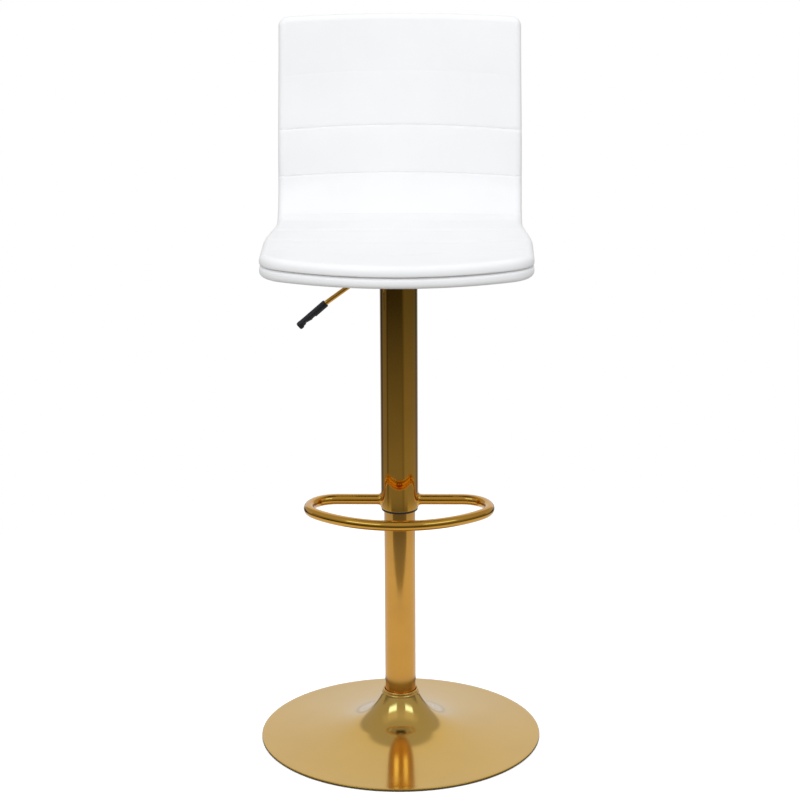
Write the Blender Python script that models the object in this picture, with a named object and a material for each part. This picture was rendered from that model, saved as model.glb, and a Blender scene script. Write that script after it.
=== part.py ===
"""Bar stool with footrest: gas-lift column on a trumpet base, upholstered L-shaped seat, release lever.

Frame: metres, +Z up, origin on the floor under the column axis, the sitter faces -Y.
The stool is modelled with its seat raised to the top of the gas-lift travel.
"""

import math

import bmesh
import bpy
import numpy as np
from mathutils import Matrix, Vector

# ---- fits ----
GAP = 0.0003                # clearance between pieces that touch

# ---- base ----
BASE_RADIUS = 0.219
BASE_SHEET = 0.0015
RIM_BOTTOM_Z = 0.0018
RIM_TOP_Z = 0.0050
DOME_RISE = 0.024           # slow rise of the disc from the rim to the column
DOME_FALL_POWER = 1.3
BELL_RISE = 0.053           # steep rise of the bell round the column
BELL_SPREAD = 0.0225
COLLAR_ROLL = 0.0028        # radius of the rolled lip round the column
COLLAR_AIR = 0.0012
FLOOR_RING_WIDTH = 0.020
FLOOR_RING_HEIGHT = 0.0040
STIFFENER_RADIUS = 0.145
STIFFENER_Z = 0.0052
STIFFENER_SHEET = 0.0025
HUB_TOP_Z = 0.060
HUB_WALL = 0.0032

# ---- fixed column ----
COLUMN_RADIUS = 0.024
COLUMN_WALL = 0.0015
COLUMN_BOTTOM_Z = 0.0125
COLUMN_TOP_Z = 0.440
COLUMN_TAPER = 0.0012       # how much the tube narrows inside the hub
FLOOR_PLATE = 0.0025        # closed bottom of the column tube
GUIDE_BUSH_HEIGHT = 0.034
GUIDE_BUSH_LIP = 0.0016

# ---- piston, bearing and gas cylinder ----
ROD_RADIUS = 0.005
ROD_NECK_RADIUS = 0.0042
ROD_BOTTOM_Z = 0.0085
CLIP_THICKNESS = 0.0014
CLIP_RADIUS = 0.0080
WASHER_RADIUS = 0.0170
WASHER_THICKNESS = 0.0020
BALL_RADIUS = 0.0022
BALL_CIRCLE = 0.0118
BALL_COUNT = 8
CAGE_THICKNESS = 0.0016
BUMP_HEIGHT = 0.0160
BUMP_RADIUS = 0.0135
TRAVEL = 0.210              # gas-lift stroke
CYLINDER_RADIUS = 0.014
CYLINDER_WALL = 0.0018
CYLINDER_TOP_Z = 0.7505
CYLINDER_TAPER = 0.0006
CYLINDER_CAVITY_TOP_Z = 0.700
CYLINDER_GUIDE = 0.012      # thick lower end that guides the rod
PISTON_HEIGHT = 0.014
VALVE_RADIUS = 0.003
VALVE_DEPTH = 0.018
VALVE_TRAVEL_ROOM = 0.006

# ---- footrest sleeve and ring ----
SLEEVE_CLEARANCE = 0.0030    # air between the column and the sleeve's bore
SLEEVE_WALL = 0.0015
SLEEVE_RADIUS = COLUMN_RADIUS + SLEEVE_CLEARANCE + SLEEVE_WALL
SLEEVE_BOTTOM_Z = 0.380
SLEEVE_TOP_Z = 0.735
SLEEVE_BUSH_FLANGE = 0.0032
SLEEVE_BUSH_HEIGHT = 0.030
CAP_FLANGE = 0.0009
CAP_DEPTH = 0.013
RING_Z = 0.392
RING_TUBE_RADIUS = 0.0080
RING_FRONT_Y = -0.1250
RING_ARC_RADIUS = 0.1750
RING_CORNER_RADIUS = 0.042
WELD_LENGTH = 0.0065
WELD_WIDTH = 0.0042

# ---- seat mounting ----
SOCKET_RADIUS = 0.0210
SOCKET_WALL = 0.0025
SOCKET_CONE_HEIGHT = 0.0135
PLATE_X = 0.165
PLATE_Y = 0.150
PLATE_THICKNESS = 0.003
PLATE_CORNER = 0.012
BOLT_X = 0.062
BOLT_Y = 0.054
BOLT_RADIUS = 0.003
BOLT_HEAD_RADIUS = 0.0057
BOLT_HEAD_HEIGHT = 0.004
BOLT_WASHER_RADIUS = 0.0075
BOLT_WASHER_THICKNESS = 0.0012
NUT_FLANGE_RADIUS = 0.009
NUT_FLANGE = 0.0010
NUT_BARREL_RADIUS = 0.0043

# ---- release lever ----
LEVER_Z = 0.760
LEVER_PIVOT_X = -0.030
LEVER_ROD_RADIUS = 0.0038
LEVER_INNER_X = 0.003
LEVER_BEND_X = -0.0312
LEVER_BEND_RADIUS = 0.012
LEVER_SLOPE = math.radians(36.5)
LEVER_SLOPE_TO_GRIP = 0.0873
GRIP_SLOPE = math.radians(41.5)
GRIP_LENGTH = 0.057
GRIP_RADIUS = 0.0058
GRIP_ROD_DEPTH = 0.040
PIVOT_PIN_RADIUS = 0.0014
BRACKET_SHEET = 0.0020
BRACKET_LENGTH = 0.010

# ---- upholstered seat and back ----
SEAM_Z = 0.795              # height of the line between front cushion and rear cover
SEAT_FRONT_Y = -0.212
SEAT_HALF_WIDTH = 0.2005
BACK_HALF_WIDTH = 0.1875
TOP_HALF_WIDTH = 0.1855
WIDEN_FROM_Y = 0.110
WIDEN_OVER = 0.160
FRONT_ARC_RADIUS = 0.360
FRONT_CORNER = 0.030
TOP_CORNER = 0.014
TOP_ARCH = 0.003
BEND_RADIUS = 0.100
RECLINE = math.radians(9.0)
BEND_Y = 0.0674             # where the flat seat ends and the bend starts, behind the rear bolts
BACK_TOP_Z = 1.112
BACK_WRAP = 0.020           # how far the sides of the back come forward
CUSHION_THICKNESS = 0.019
COVER_THICKNESS = 0.018
COVER_WALL = 0.0115
COVER_FLOOR = 0.0055
EDGE_ROUND = 0.010
SHELL_RECESS = 0.0016       # room over the shell for the nut flanges

# ---- facets ----
LARGE_SIDES = 48
MEDIUM_SIDES = 32
SMALL_SIDES = 16


# ======================= scene, materials and parenting =======================

def clear_scene():
    for obj in list(bpy.data.objects):
        bpy.data.objects.remove(obj)


def material(name, colour, roughness, metallic):
    made = bpy.data.materials.new(name)
    made.use_nodes = True
    shader = made.node_tree.nodes["Principled BSDF"]
    shader.inputs["Base Color"].default_value = (*colour, 1.0)
    shader.inputs["Roughness"].default_value = roughness
    shader.inputs["Metallic"].default_value = metallic
    made.diffuse_color = (*colour, 1.0)
    return made


def gold_polished():
    return material("gold_polished", (0.48, 0.27, 0.06), 0.12, 1.0)


def gold_satin():
    return material("gold_satin", (0.60, 0.38, 0.13), 0.30, 1.0)


def white_vinyl():
    return material("white_vinyl", (0.86, 0.86, 0.86), 0.45, 0.0)


def black_plastic():
    return material("black_plastic", (0.02, 0.02, 0.02), 0.45, 0.0)


def black_rubber():
    return material("black_rubber", (0.03, 0.03, 0.03), 0.80, 0.0)


def nylon():
    return material("nylon", (0.75, 0.74, 0.70), 0.50, 0.0)


def steel_zinc():
    return material("steel_zinc", (0.62, 0.63, 0.65), 0.35, 1.0)


def steel_black():
    return material("steel_black", (0.05, 0.05, 0.055), 0.45, 0.6)


def plywood():
    return material("plywood", (0.62, 0.45, 0.27), 0.70, 0.0)


def axis_empty(name, location, parent=None):
    """An empty on a joint's axis, which the moving pieces hang from."""
    empty = bpy.data.objects.new(name, None)
    empty.empty_display_size = 0.05
    bpy.context.scene.collection.objects.link(empty)
    empty.location = Vector(location) - (parent.matrix_world.translation if parent else Vector())
    empty.parent = parent
    bpy.context.view_layer.update()
    return empty


def attach(obj, parent):
    """Hangs obj from parent and leaves it where it is in the world."""
    obj.parent = parent
    obj.matrix_parent_inverse = parent.matrix_world.inverted()


# ======================= shape helpers =======================

def mesh_object(name, bm, finish, smooth_angle=35.0):
    bmesh.ops.recalc_face_normals(bm, faces=bm.faces)
    if bm.calc_volume(signed=True) < 0:
        bmesh.ops.reverse_faces(bm, faces=bm.faces)
    mesh = bpy.data.meshes.new(name)
    bm.to_mesh(mesh)
    bm.free()
    mesh.shade_smooth()
    mesh.set_sharp_from_angle(angle=math.radians(smooth_angle))
    obj = bpy.data.objects.new(name, mesh)
    bpy.context.scene.collection.objects.link(obj)
    if finish:
        mesh.materials.append(finish)
    return obj


def turned_bmesh(outline, sides):
    """The closed outline [(radius, height), ...] spun round Z. An edge on the axis makes no face."""
    bm = bmesh.new()
    points = [bm.verts.new((radius, 0.0, height)) for radius, height in outline]
    pairs = zip(points, points[1:] + points[:1])
    edges = [bm.edges.new(pair) for pair in pairs if pair[0].co.x or pair[1].co.x]
    bmesh.ops.spin(bm, geom=points + edges, cent=(0, 0, 0), axis=(0, 0, 1), angle=2 * math.pi,
                   steps=sides, use_merge=True)
    bmesh.ops.remove_doubles(bm, verts=bm.verts, dist=1e-6)
    return bm


def turned(name, outline, finish, sides=MEDIUM_SIDES, place=None):
    bm = turned_bmesh(outline, sides)
    if place:
        bm.transform(place)
    return mesh_object(name, bm, finish)


def arc_points(centre, radius, start, end, count):
    """Points of an arc from angle start to end, in degrees, both ends included."""
    angles = np.radians(np.linspace(start, end, count))
    return [(centre[0] + radius * math.cos(a), centre[1] + radius * math.sin(a)) for a in angles]


def ring_outline(inner, outer, bottom, top):
    return [(outer, top), (outer, bottom), (inner, bottom), (inner, top)]


def prism(name, outline, low, high, finish, place=None):
    """The outline [(x, y), ...] as a face at z = low, extruded to z = high."""
    bm = bmesh.new()
    face = bm.faces.new([bm.verts.new((x, y, low)) for x, y in outline])
    made = bmesh.ops.extrude_face_region(bm, geom=[face])["geom"]
    moved = [item for item in made if isinstance(item, bmesh.types.BMVert)]
    bmesh.ops.translate(bm, verts=moved, vec=(0, 0, high - low))
    if place:
        bm.transform(place)
    return mesh_object(name, bm, finish)


def rounded_rectangle(half_x, half_y, radius, count=5):
    points = []
    for sign_x, sign_y, start in ((1, 1, 0), (-1, 1, 90), (-1, -1, 180), (1, -1, 270)):
        centre = (sign_x * (half_x - radius), sign_y * (half_y - radius))
        points += arc_points(centre, radius, start, start + 90, count)
    return points


def swept(name, points, radius, finish, sides, binormal):
    """A round bar along a path that lies in the plane at right angles to binormal."""
    bm = bmesh.new()
    binormal = Vector(binormal)
    points = [Vector(point) for point in points]
    rings = []
    for i, point in enumerate(points):
        along = points[min(i + 1, len(points) - 1)] - points[max(i - 1, 0)]
        side = along.normalized().cross(binormal)
        ring = []
        for k in range(sides):
            turn = 2 * math.pi * k / sides
            ring.append(bm.verts.new(point + radius * (math.cos(turn) * side + math.sin(turn) * binormal)))
        rings.append(ring)
    for first, second in zip(rings, rings[1:]):
        for k in range(sides):
            bm.faces.new((first[k], first[(k + 1) % sides], second[(k + 1) % sides], second[k]))
    bm.faces.new(rings[0])
    bm.faces.new(rings[-1])
    return mesh_object(name, bm, finish)


def cutter(obj):
    obj.hide_render = True
    obj.display_type = "WIRE"
    return obj


def cylinder_cutter(name, radius, start, end, sides=SMALL_SIDES):
    """A round cutter from point start to point end."""
    start = Vector(start)
    along = Vector(end) - start
    turn = along.to_track_quat("Z", "Y").to_matrix().to_4x4()
    outline = [(0.0, along.length), (radius, along.length), (radius, 0.0), (0.0, 0.0)]
    return cutter(turned(name, outline, None, sides, Matrix.Translation(start) @ turn))


def boolean(obj, other, operation="DIFFERENCE"):
    modifier = obj.modifiers.new(operation.lower() + "_" + other.name, "BOOLEAN")
    modifier.operation = operation
    modifier.solver = "EXACT"
    modifier.object = other


# ======================= base =======================

def dome_height(radius):
    """Height of the dome's outer face at a radius: a slow disc rise and a steep bell."""
    collar_radius = COLUMN_RADIUS + COLLAR_AIR + COLLAR_ROLL
    disc = DOME_RISE * max(0.0, 1 - radius / BASE_RADIUS) ** DOME_FALL_POWER
    bell = BELL_RISE * math.exp(-(radius - collar_radius) / BELL_SPREAD)
    edge = BELL_RISE * math.exp(-(BASE_RADIUS - collar_radius) / BELL_SPREAD)
    return RIM_TOP_Z + disc + bell - edge


def dome_radii(count=10):
    """Radii from the collar to the rim, closer together on the bell."""
    collar_radius = COLUMN_RADIUS + COLLAR_AIR + COLLAR_ROLL
    steps = np.linspace(0, 1, count) ** 2.2
    return [collar_radius + (BASE_RADIUS - 0.0012 - collar_radius) * step for step in steps]


def dome_normal(radius):
    slope = (dome_height(radius + 1e-4) - dome_height(radius - 1e-4)) / 2e-4
    return Vector((-slope, 1.0)).normalized()


def make_base_dome():
    radii = dome_radii()
    outer = [(radius, dome_height(radius)) for radius in radii]
    inner = []
    for radius, height in outer[:-1]:
        normal = dome_normal(radius)
        inner.append((radius - BASE_SHEET * normal.x, height - BASE_SHEET * normal.y))
    top = outer[0][1]
    roll_centre = (COLUMN_RADIUS + COLLAR_AIR + COLLAR_ROLL / 2, top)
    roll = arc_points(roll_centre, COLLAR_ROLL / 2, 180, 18, 4)
    rim = [
        (BASE_RADIUS, RIM_TOP_Z - 0.0008),
        (BASE_RADIUS, RIM_BOTTOM_Z),
        (BASE_RADIUS - BASE_SHEET, RIM_BOTTOM_Z),
        (BASE_RADIUS - BASE_SHEET, RIM_TOP_Z - 0.0012),
    ]
    outline = roll + outer[1:] + rim + inner[:0:-1] + [(roll_centre[0] - COLLAR_ROLL / 2, top - 0.004)]
    return turned("base_dome", outline, gold_satin(), LARGE_SIDES)


def make_floor_ring():
    outer = BASE_RADIUS - BASE_SHEET - GAP
    inner = outer - FLOOR_RING_WIDTH
    top = min(FLOOR_RING_HEIGHT, dome_height(outer) - BASE_SHEET - 2 * GAP)
    outline = [(outer, top - 0.0012), (outer, 0.0), (inner, 0.0), (inner, top), (outer - 0.004, top)]
    return turned("floor_ring", outline, black_rubber(), LARGE_SIDES)


def make_stiffener():
    bore = COLUMN_RADIUS + HUB_WALL + 2 * GAP
    top = STIFFENER_Z + STIFFENER_SHEET
    outline = ring_outline(bore, STIFFENER_RADIUS, STIFFENER_Z, top)
    return turned("base_stiffener_plate", outline, steel_black(), MEDIUM_SIDES)


def column_radius_at(height):
    """The column tube narrows a little where it is driven into the hub."""
    share = min(1.0, max(0.0, (HUB_TOP_Z - height) / (HUB_TOP_Z - COLUMN_BOTTOM_Z)))
    return COLUMN_RADIUS - COLUMN_TAPER * share


def make_hub():
    bottom = STIFFENER_Z
    outer = COLUMN_RADIUS + HUB_WALL
    outline = [
        (outer, HUB_TOP_Z - 0.001),
        (outer, bottom),
        (column_radius_at(bottom) + GAP, bottom),
        (column_radius_at(COLUMN_BOTTOM_Z) + GAP, COLUMN_BOTTOM_Z),
        (COLUMN_RADIUS + GAP, HUB_TOP_Z),
        (outer - 0.001, HUB_TOP_Z),
    ]
    return turned("base_hub", outline, steel_black(), MEDIUM_SIDES)


# ======================= fixed column =======================

def make_column_tube():
    inner = COLUMN_RADIUS - COLUMN_WALL
    floor_top = COLUMN_BOTTOM_Z + FLOOR_PLATE
    bottom_radius = column_radius_at(COLUMN_BOTTOM_Z)
    outline = [
        (COLUMN_RADIUS, COLUMN_TOP_Z),
        (COLUMN_RADIUS, HUB_TOP_Z),
        (bottom_radius, COLUMN_BOTTOM_Z),
        (ROD_RADIUS + 0.001, COLUMN_BOTTOM_Z),
        (ROD_RADIUS + 0.001, floor_top),
        (bottom_radius - COLUMN_WALL, floor_top),
        (inner, HUB_TOP_Z),
        (inner, COLUMN_TOP_Z),
    ]
    return turned("column_tube", outline, gold_polished(), MEDIUM_SIDES)


def make_guide_bush():
    outer = COLUMN_RADIUS - COLUMN_WALL - GAP
    bore = CYLINDER_RADIUS + GAP
    seat = COLUMN_TOP_Z + GAP
    outline = [
        (COLUMN_RADIUS, seat + GUIDE_BUSH_LIP),
        (COLUMN_RADIUS, seat),
        (outer, seat),
        (outer, COLUMN_TOP_Z - GUIDE_BUSH_HEIGHT),
        (bore, COLUMN_TOP_Z - GUIDE_BUSH_HEIGHT),
        (bore, seat + GUIDE_BUSH_LIP),
    ]
    return turned("column_guide_bush", outline, nylon())


# ======================= bearing, piston and gas cylinder =======================

def bearing_levels():
    """Bottom heights of the lower washer, the balls' middle, the upper washer and the bump stop."""
    lower = COLUMN_BOTTOM_Z + FLOOR_PLATE + GAP
    middle = lower + WASHER_THICKNESS + GAP + BALL_RADIUS
    upper = middle + BALL_RADIUS + GAP
    bump = upper + WASHER_THICKNESS + GAP
    return lower, middle, upper, bump


def make_thrust_washer(name, bottom):
    outline = ring_outline(ROD_RADIUS + 2 * GAP, WASHER_RADIUS, bottom, bottom + WASHER_THICKNESS)
    return turned(name, outline, steel_zinc(), SMALL_SIDES)


def make_ball_cage(middle):
    half = CAGE_THICKNESS / 2
    cage = turned("thrust_ball_cage", ring_outline(ROD_RADIUS + 3 * GAP, WASHER_RADIUS - 0.001, middle - half,
                                                   middle + half), steel_zinc(), SMALL_SIDES)
    for i in range(BALL_COUNT):
        turn = 2 * math.pi * i / BALL_COUNT
        bm = bmesh.new()
        bmesh.ops.create_icosphere(bm, subdivisions=1, radius=BALL_RADIUS)
        centre = (BALL_CIRCLE * math.cos(turn), BALL_CIRCLE * math.sin(turn), middle)
        bm.transform(Matrix.Translation(centre))
        boolean(cage, cutter(mesh_object(f"ball_{i + 1}", bm, None)), "UNION")
    return cage


def make_rod_clip():
    top = COLUMN_BOTTOM_Z - GAP
    outline = ring_outline(ROD_NECK_RADIUS + GAP, CLIP_RADIUS, top - CLIP_THICKNESS, top)
    return turned("rod_retaining_clip", outline, steel_zinc(), SMALL_SIDES)


def make_bump_stop(bottom):
    bore = ROD_RADIUS + GAP
    outline = [
        (BUMP_RADIUS - 0.002, bottom + BUMP_HEIGHT),
        (BUMP_RADIUS, bottom + BUMP_HEIGHT - 0.003),
        (BUMP_RADIUS, bottom),
        (bore, bottom),
        (bore, bottom + BUMP_HEIGHT),
    ]
    return turned("bump_stop", outline, black_rubber(), SMALL_SIDES)


def cylinder_bottom_z():
    """The cylinder comes down on the bump stop at the end of the stroke."""
    return bearing_levels()[3] + BUMP_HEIGHT + GAP + TRAVEL


def make_piston_rod():
    """The rod with its piston head, one turned piece, held under the column's floor by a clip."""
    piston_bottom = cylinder_bottom_z() + CYLINDER_GUIDE + 0.001
    piston_radius = CYLINDER_RADIUS - CYLINDER_WALL - GAP
    groove_top = COLUMN_BOTTOM_Z + GAP
    groove_bottom = groove_top - CLIP_THICKNESS - 3 * GAP
    outline = [
        (0.0, piston_bottom + PISTON_HEIGHT),
        (piston_radius, piston_bottom + PISTON_HEIGHT),
        (piston_radius, piston_bottom),
        (ROD_RADIUS, piston_bottom),
        (ROD_RADIUS, groove_top),
        (ROD_NECK_RADIUS, groove_top),
        (ROD_NECK_RADIUS, groove_bottom),
        (ROD_RADIUS, groove_bottom),
        (ROD_RADIUS, ROD_BOTTOM_Z + 0.0006),
        (ROD_RADIUS - 0.0006, ROD_BOTTOM_Z),
        (0.0, ROD_BOTTOM_Z),
    ]
    return turned("piston_rod", outline, steel_zinc(), SMALL_SIDES)


def make_gas_cylinder():
    bottom = cylinder_bottom_z()
    bore = CYLINDER_RADIUS - CYLINDER_WALL
    socket_bottom = SLEEVE_TOP_Z + CAP_FLANGE + 2 * GAP
    valve_bore = VALVE_RADIUS + GAP
    valve_floor = LEVER_Z - LEVER_ROD_RADIUS - GAP - VALVE_DEPTH - VALVE_TRAVEL_ROOM
    outline = [
        (CYLINDER_RADIUS - CYLINDER_TAPER, CYLINDER_TOP_Z),
        (CYLINDER_RADIUS, socket_bottom),
        (CYLINDER_RADIUS, bottom + 0.001),
        (CYLINDER_RADIUS - 0.001, bottom),
        (ROD_RADIUS + GAP, bottom),
        (ROD_RADIUS + GAP, bottom + CYLINDER_GUIDE),
        (bore, bottom + CYLINDER_GUIDE),
        (bore, CYLINDER_CAVITY_TOP_Z),
        (0.0, CYLINDER_CAVITY_TOP_Z),
        (0.0, valve_floor),
        (valve_bore, valve_floor),
        (valve_bore, CYLINDER_TOP_Z),
    ]
    return turned("gas_cylinder", outline, steel_black(), MEDIUM_SIDES)


def make_valve_button():
    top = LEVER_Z - LEVER_ROD_RADIUS - GAP
    outline = [(0.0, top), (VALVE_RADIUS - 0.0005, top), (VALVE_RADIUS, top - 0.0005),
               (VALVE_RADIUS, top - VALVE_DEPTH), (0.0, top - VALVE_DEPTH)]
    return turned("valve_button", outline, steel_zinc(), SMALL_SIDES)


# ======================= footrest =======================

def make_sleeve():
    outline = ring_outline(SLEEVE_RADIUS - SLEEVE_WALL, SLEEVE_RADIUS, SLEEVE_BOTTOM_Z, SLEEVE_TOP_Z)
    return turned("footrest_sleeve", outline, gold_polished(), MEDIUM_SIDES)


def make_sleeve_bush():
    outer = SLEEVE_RADIUS - SLEEVE_WALL - GAP
    bore = COLUMN_RADIUS + GAP
    seat = SLEEVE_BOTTOM_Z - GAP
    outline = [
        (outer, SLEEVE_BOTTOM_Z + SLEEVE_BUSH_HEIGHT),
        (outer, seat),
        (SLEEVE_RADIUS - 0.0006, seat),
        (SLEEVE_RADIUS - 0.0006, seat - SLEEVE_BUSH_FLANGE),
        (bore, seat - SLEEVE_BUSH_FLANGE),
        (bore, SLEEVE_BOTTOM_Z + SLEEVE_BUSH_HEIGHT),
    ]
    return turned("sleeve_bottom_bush", outline, black_plastic())


def make_sleeve_cap():
    outer = SLEEVE_RADIUS - SLEEVE_WALL - GAP
    bore = CYLINDER_RADIUS + GAP
    seat = SLEEVE_TOP_Z + GAP
    outline = [
        (SLEEVE_RADIUS, seat + CAP_FLANGE),
        (SLEEVE_RADIUS, seat),
        (outer, seat),
        (outer, SLEEVE_TOP_Z - CAP_DEPTH),
        (bore, SLEEVE_TOP_Z - CAP_DEPTH),
        (bore, seat + CAP_FLANGE),
    ]
    return turned("sleeve_top_cap", outline, black_plastic())


def ring_route(corner_steps=5, front_steps=16):
    """Centreline of the D-shaped footrest, from the left end of its back bar to the right end."""
    arc_centre_y = RING_FRONT_Y + RING_ARC_RADIUS
    reach = RING_ARC_RADIUS - RING_CORNER_RADIUS
    corner_x = math.sqrt(reach**2 - (arc_centre_y + RING_CORNER_RADIUS) ** 2)
    meet = math.degrees(math.atan2(-RING_CORNER_RADIUS - arc_centre_y, -corner_x)) % 360
    left = arc_points((-corner_x, -RING_CORNER_RADIUS), RING_CORNER_RADIUS, 90, meet, corner_steps)
    front = arc_points((0.0, arc_centre_y), RING_ARC_RADIUS, meet, 540 - meet, front_steps)
    right = [(-x, y) for x, y in reversed(left)]
    inside = SLEEVE_RADIUS - 0.010
    middle = (inside + corner_x) / 2
    plan = [(-inside, 0.0), (-middle, 0.0)] + left + front[1:-1] + right + [(middle, 0.0), (inside, 0.0)]
    return [(x, y, RING_Z) for x, y in plan]


def make_footrest_ring():
    ring = swept("footrest_ring", ring_route(), RING_TUBE_RADIUS, gold_polished(), 12, (0, 0, 1))
    start = (0, 0, RING_Z - 0.03)
    end = (0, 0, RING_Z + 0.03)
    boolean(ring, cylinder_cutter("ring_end_cutter", SLEEVE_RADIUS + GAP, start, end, MEDIUM_SIDES))
    return ring


def make_weld(name, side):
    """The fillet of weld round one end of the ring, against the sleeve."""
    bore = RING_TUBE_RADIUS + GAP
    near = SLEEVE_RADIUS - 0.006
    far = SLEEVE_RADIUS + GAP + WELD_LENGTH
    outline = [(bore, far), (bore + 0.0007, far), (bore + 0.0018, far - WELD_LENGTH * 0.55),
               (bore + WELD_WIDTH, far - WELD_LENGTH), (bore + WELD_WIDTH, near), (bore, near)]
    place = Matrix.Translation((0, 0, RING_Z)) @ Matrix.Rotation(side * math.pi / 2, 4, "Y")
    weld = turned(name, outline, gold_polished(), SMALL_SIDES, place)
    start = (0, 0, RING_Z - 0.03)
    end = (0, 0, RING_Z + 0.03)
    boolean(weld, cylinder_cutter(name + "_cutter", SLEEVE_RADIUS + GAP, start, end, MEDIUM_SIDES))
    return weld


# ======================= seat mounting =======================

def plate_top_z():
    return SEAM_Z - COVER_THICKNESS - GAP


def plate_bottom_z():
    return plate_top_z() - PLATE_THICKNESS


def make_seat_socket():
    """The tube under the plate, coned inside to sit on the gas cylinder and slotted for the lever."""
    bottom = SLEEVE_TOP_Z + CAP_FLANGE + 2 * GAP
    top = plate_bottom_z() - GAP
    cone_top = bottom + SOCKET_CONE_HEIGHT
    inner = SOCKET_RADIUS - SOCKET_WALL
    outline = [
        (SOCKET_RADIUS, top),
        (SOCKET_RADIUS, bottom),
        (CYLINDER_RADIUS + GAP, bottom),
        (CYLINDER_RADIUS - CYLINDER_TAPER + GAP, cone_top),
        (inner, cone_top),
        (inner, top),
    ]
    socket = turned("seat_socket", outline, steel_black())
    start = (-SOCKET_RADIUS - 0.01, 0, LEVER_Z)
    end = (-SOCKET_RADIUS + 0.01, 0, LEVER_Z)
    boolean(socket, cylinder_cutter("lever_hole_cutter", LEVER_ROD_RADIUS + 0.0016, start, end))
    return socket


def bolt_places():
    return [(sx * BOLT_X, sy * BOLT_Y) for sy in (-1, 1) for sx in (-1, 1)]


def drill_for_bolts(obj, radius, bottom, top):
    for i, (x, y) in enumerate(bolt_places()):
        boolean(obj, cylinder_cutter(f"{obj.name}_drill_{i + 1}", radius, (x, y, bottom), (x, y, top), 16))


def make_seat_plate():
    outline = rounded_rectangle(PLATE_X / 2, PLATE_Y / 2, PLATE_CORNER)
    plate = prism("seat_plate", outline, plate_bottom_z(), plate_top_z(), steel_black())
    drill_for_bolts(plate, BOLT_RADIUS + GAP, plate_bottom_z() - 0.01, plate_top_z() + 0.01)
    return plate


def make_bolts(parent):
    """Four bolts, each with a washer under its head and a tee nut in the shell."""
    washer_bottom = plate_bottom_z() - GAP - BOLT_WASHER_THICKNESS
    head_top = washer_bottom - GAP
    shell_top = SEAM_Z - SHELL_RECESS
    flange_bottom = shell_top + GAP
    flange_top = flange_bottom + NUT_FLANGE
    nut_bottom = flange_bottom - 0.008
    bolt_outline = [(0.0, flange_bottom), (BOLT_RADIUS, flange_bottom), (BOLT_RADIUS, head_top),
                    (0.0, head_top)]
    washer_outline = ring_outline(BOLT_RADIUS + GAP, BOLT_WASHER_RADIUS, washer_bottom,
                                  washer_bottom + BOLT_WASHER_THICKNESS)
    nut_outline = [(NUT_FLANGE_RADIUS, flange_top), (NUT_FLANGE_RADIUS, flange_bottom),
                   (NUT_BARREL_RADIUS, flange_bottom), (NUT_BARREL_RADIUS, nut_bottom),
                   (BOLT_RADIUS + GAP, nut_bottom), (BOLT_RADIUS + GAP, flange_top)]
    zinc = steel_zinc()
    head = arc_points((0.0, 0.0), BOLT_HEAD_RADIUS, 0, 300, 6)
    for i, (x, y) in enumerate(bolt_places()):
        bolt = turned(f"seat_bolt_{i + 1}", bolt_outline, zinc, 14)
        washer = turned(f"bolt_washer_{i + 1}", washer_outline, zinc, 16)
        nut = turned(f"tee_nut_{i + 1}", nut_outline, zinc, 16)
        hexagon = prism(f"bolt_head_{i + 1}", head, head_top - BOLT_HEAD_HEIGHT, head_top + 0.0001, None)
        for piece in (bolt, washer, nut, hexagon):
            piece.location = (x, y, 0)
        boolean(bolt, cutter(hexagon), "UNION")
        for piece in (bolt, washer, nut):
            attach(piece, parent)


# ======================= release lever =======================

def lever_route(bend_steps=6):
    """Centreline of the lever rod in the XZ plane, from over the valve to inside the grip."""
    bend_centre = (LEVER_BEND_X, LEVER_Z - LEVER_BEND_RADIUS)
    bend = arc_points(bend_centre, LEVER_BEND_RADIUS, 90, 90 + math.degrees(LEVER_SLOPE), bend_steps)
    start = Vector(bend[-1])
    slope = Vector((-math.cos(LEVER_SLOPE), -math.sin(LEVER_SLOPE)))
    grip_start = start + slope * LEVER_SLOPE_TO_GRIP
    grip_slope = Vector((-math.cos(GRIP_SLOPE), -math.sin(GRIP_SLOPE)))
    rod_end = grip_start + grip_slope * GRIP_ROD_DEPTH
    plan = [(LEVER_INNER_X, LEVER_Z), (LEVER_PIVOT_X, LEVER_Z)] + bend + [tuple(grip_start), tuple(rod_end)]
    return [(x, 0.0, z) for x, z in plan], grip_start, grip_slope


def make_lever_rod():
    route, _, _ = lever_route()
    rod = swept("lever_rod", route, LEVER_ROD_RADIUS, gold_polished(), 14, (0, 1, 0))
    start = (LEVER_PIVOT_X, -0.01, LEVER_Z)
    end = (LEVER_PIVOT_X, 0.01, LEVER_Z)
    boolean(rod, cylinder_cutter("rod_pin_drill", PIVOT_PIN_RADIUS + GAP, start, end, 14))
    return rod


def make_lever_grip():
    """Moulded grip, waisted near its tip, bored for the rod."""
    _, start, slope = lever_route()
    profile = [(0.0, 0.92), (0.06, 1.0), (0.55, 1.0), (0.66, 0.84), (0.76, 0.84), (0.84, 1.04), (0.95, 1.04),
               (1.0, 0.86)]
    outline = [(LEVER_ROD_RADIUS + GAP, 0.002), (LEVER_ROD_RADIUS + GAP, GRIP_ROD_DEPTH + 0.002),
               (0.0, GRIP_ROD_DEPTH + 0.002), (0.0, GRIP_LENGTH)]
    outline += [(GRIP_RADIUS * wide, GRIP_LENGTH * along) for along, wide in reversed(profile)]
    outline[-1] = (outline[-1][0], 0.002)
    turn = Vector((slope.x, 0, slope.y)).to_track_quat("Z", "Y").to_matrix().to_4x4()
    place = Matrix.Translation((start.x, 0, start.y)) @ turn
    return turned("lever_grip", outline, black_plastic(), SMALL_SIDES, place)


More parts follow.
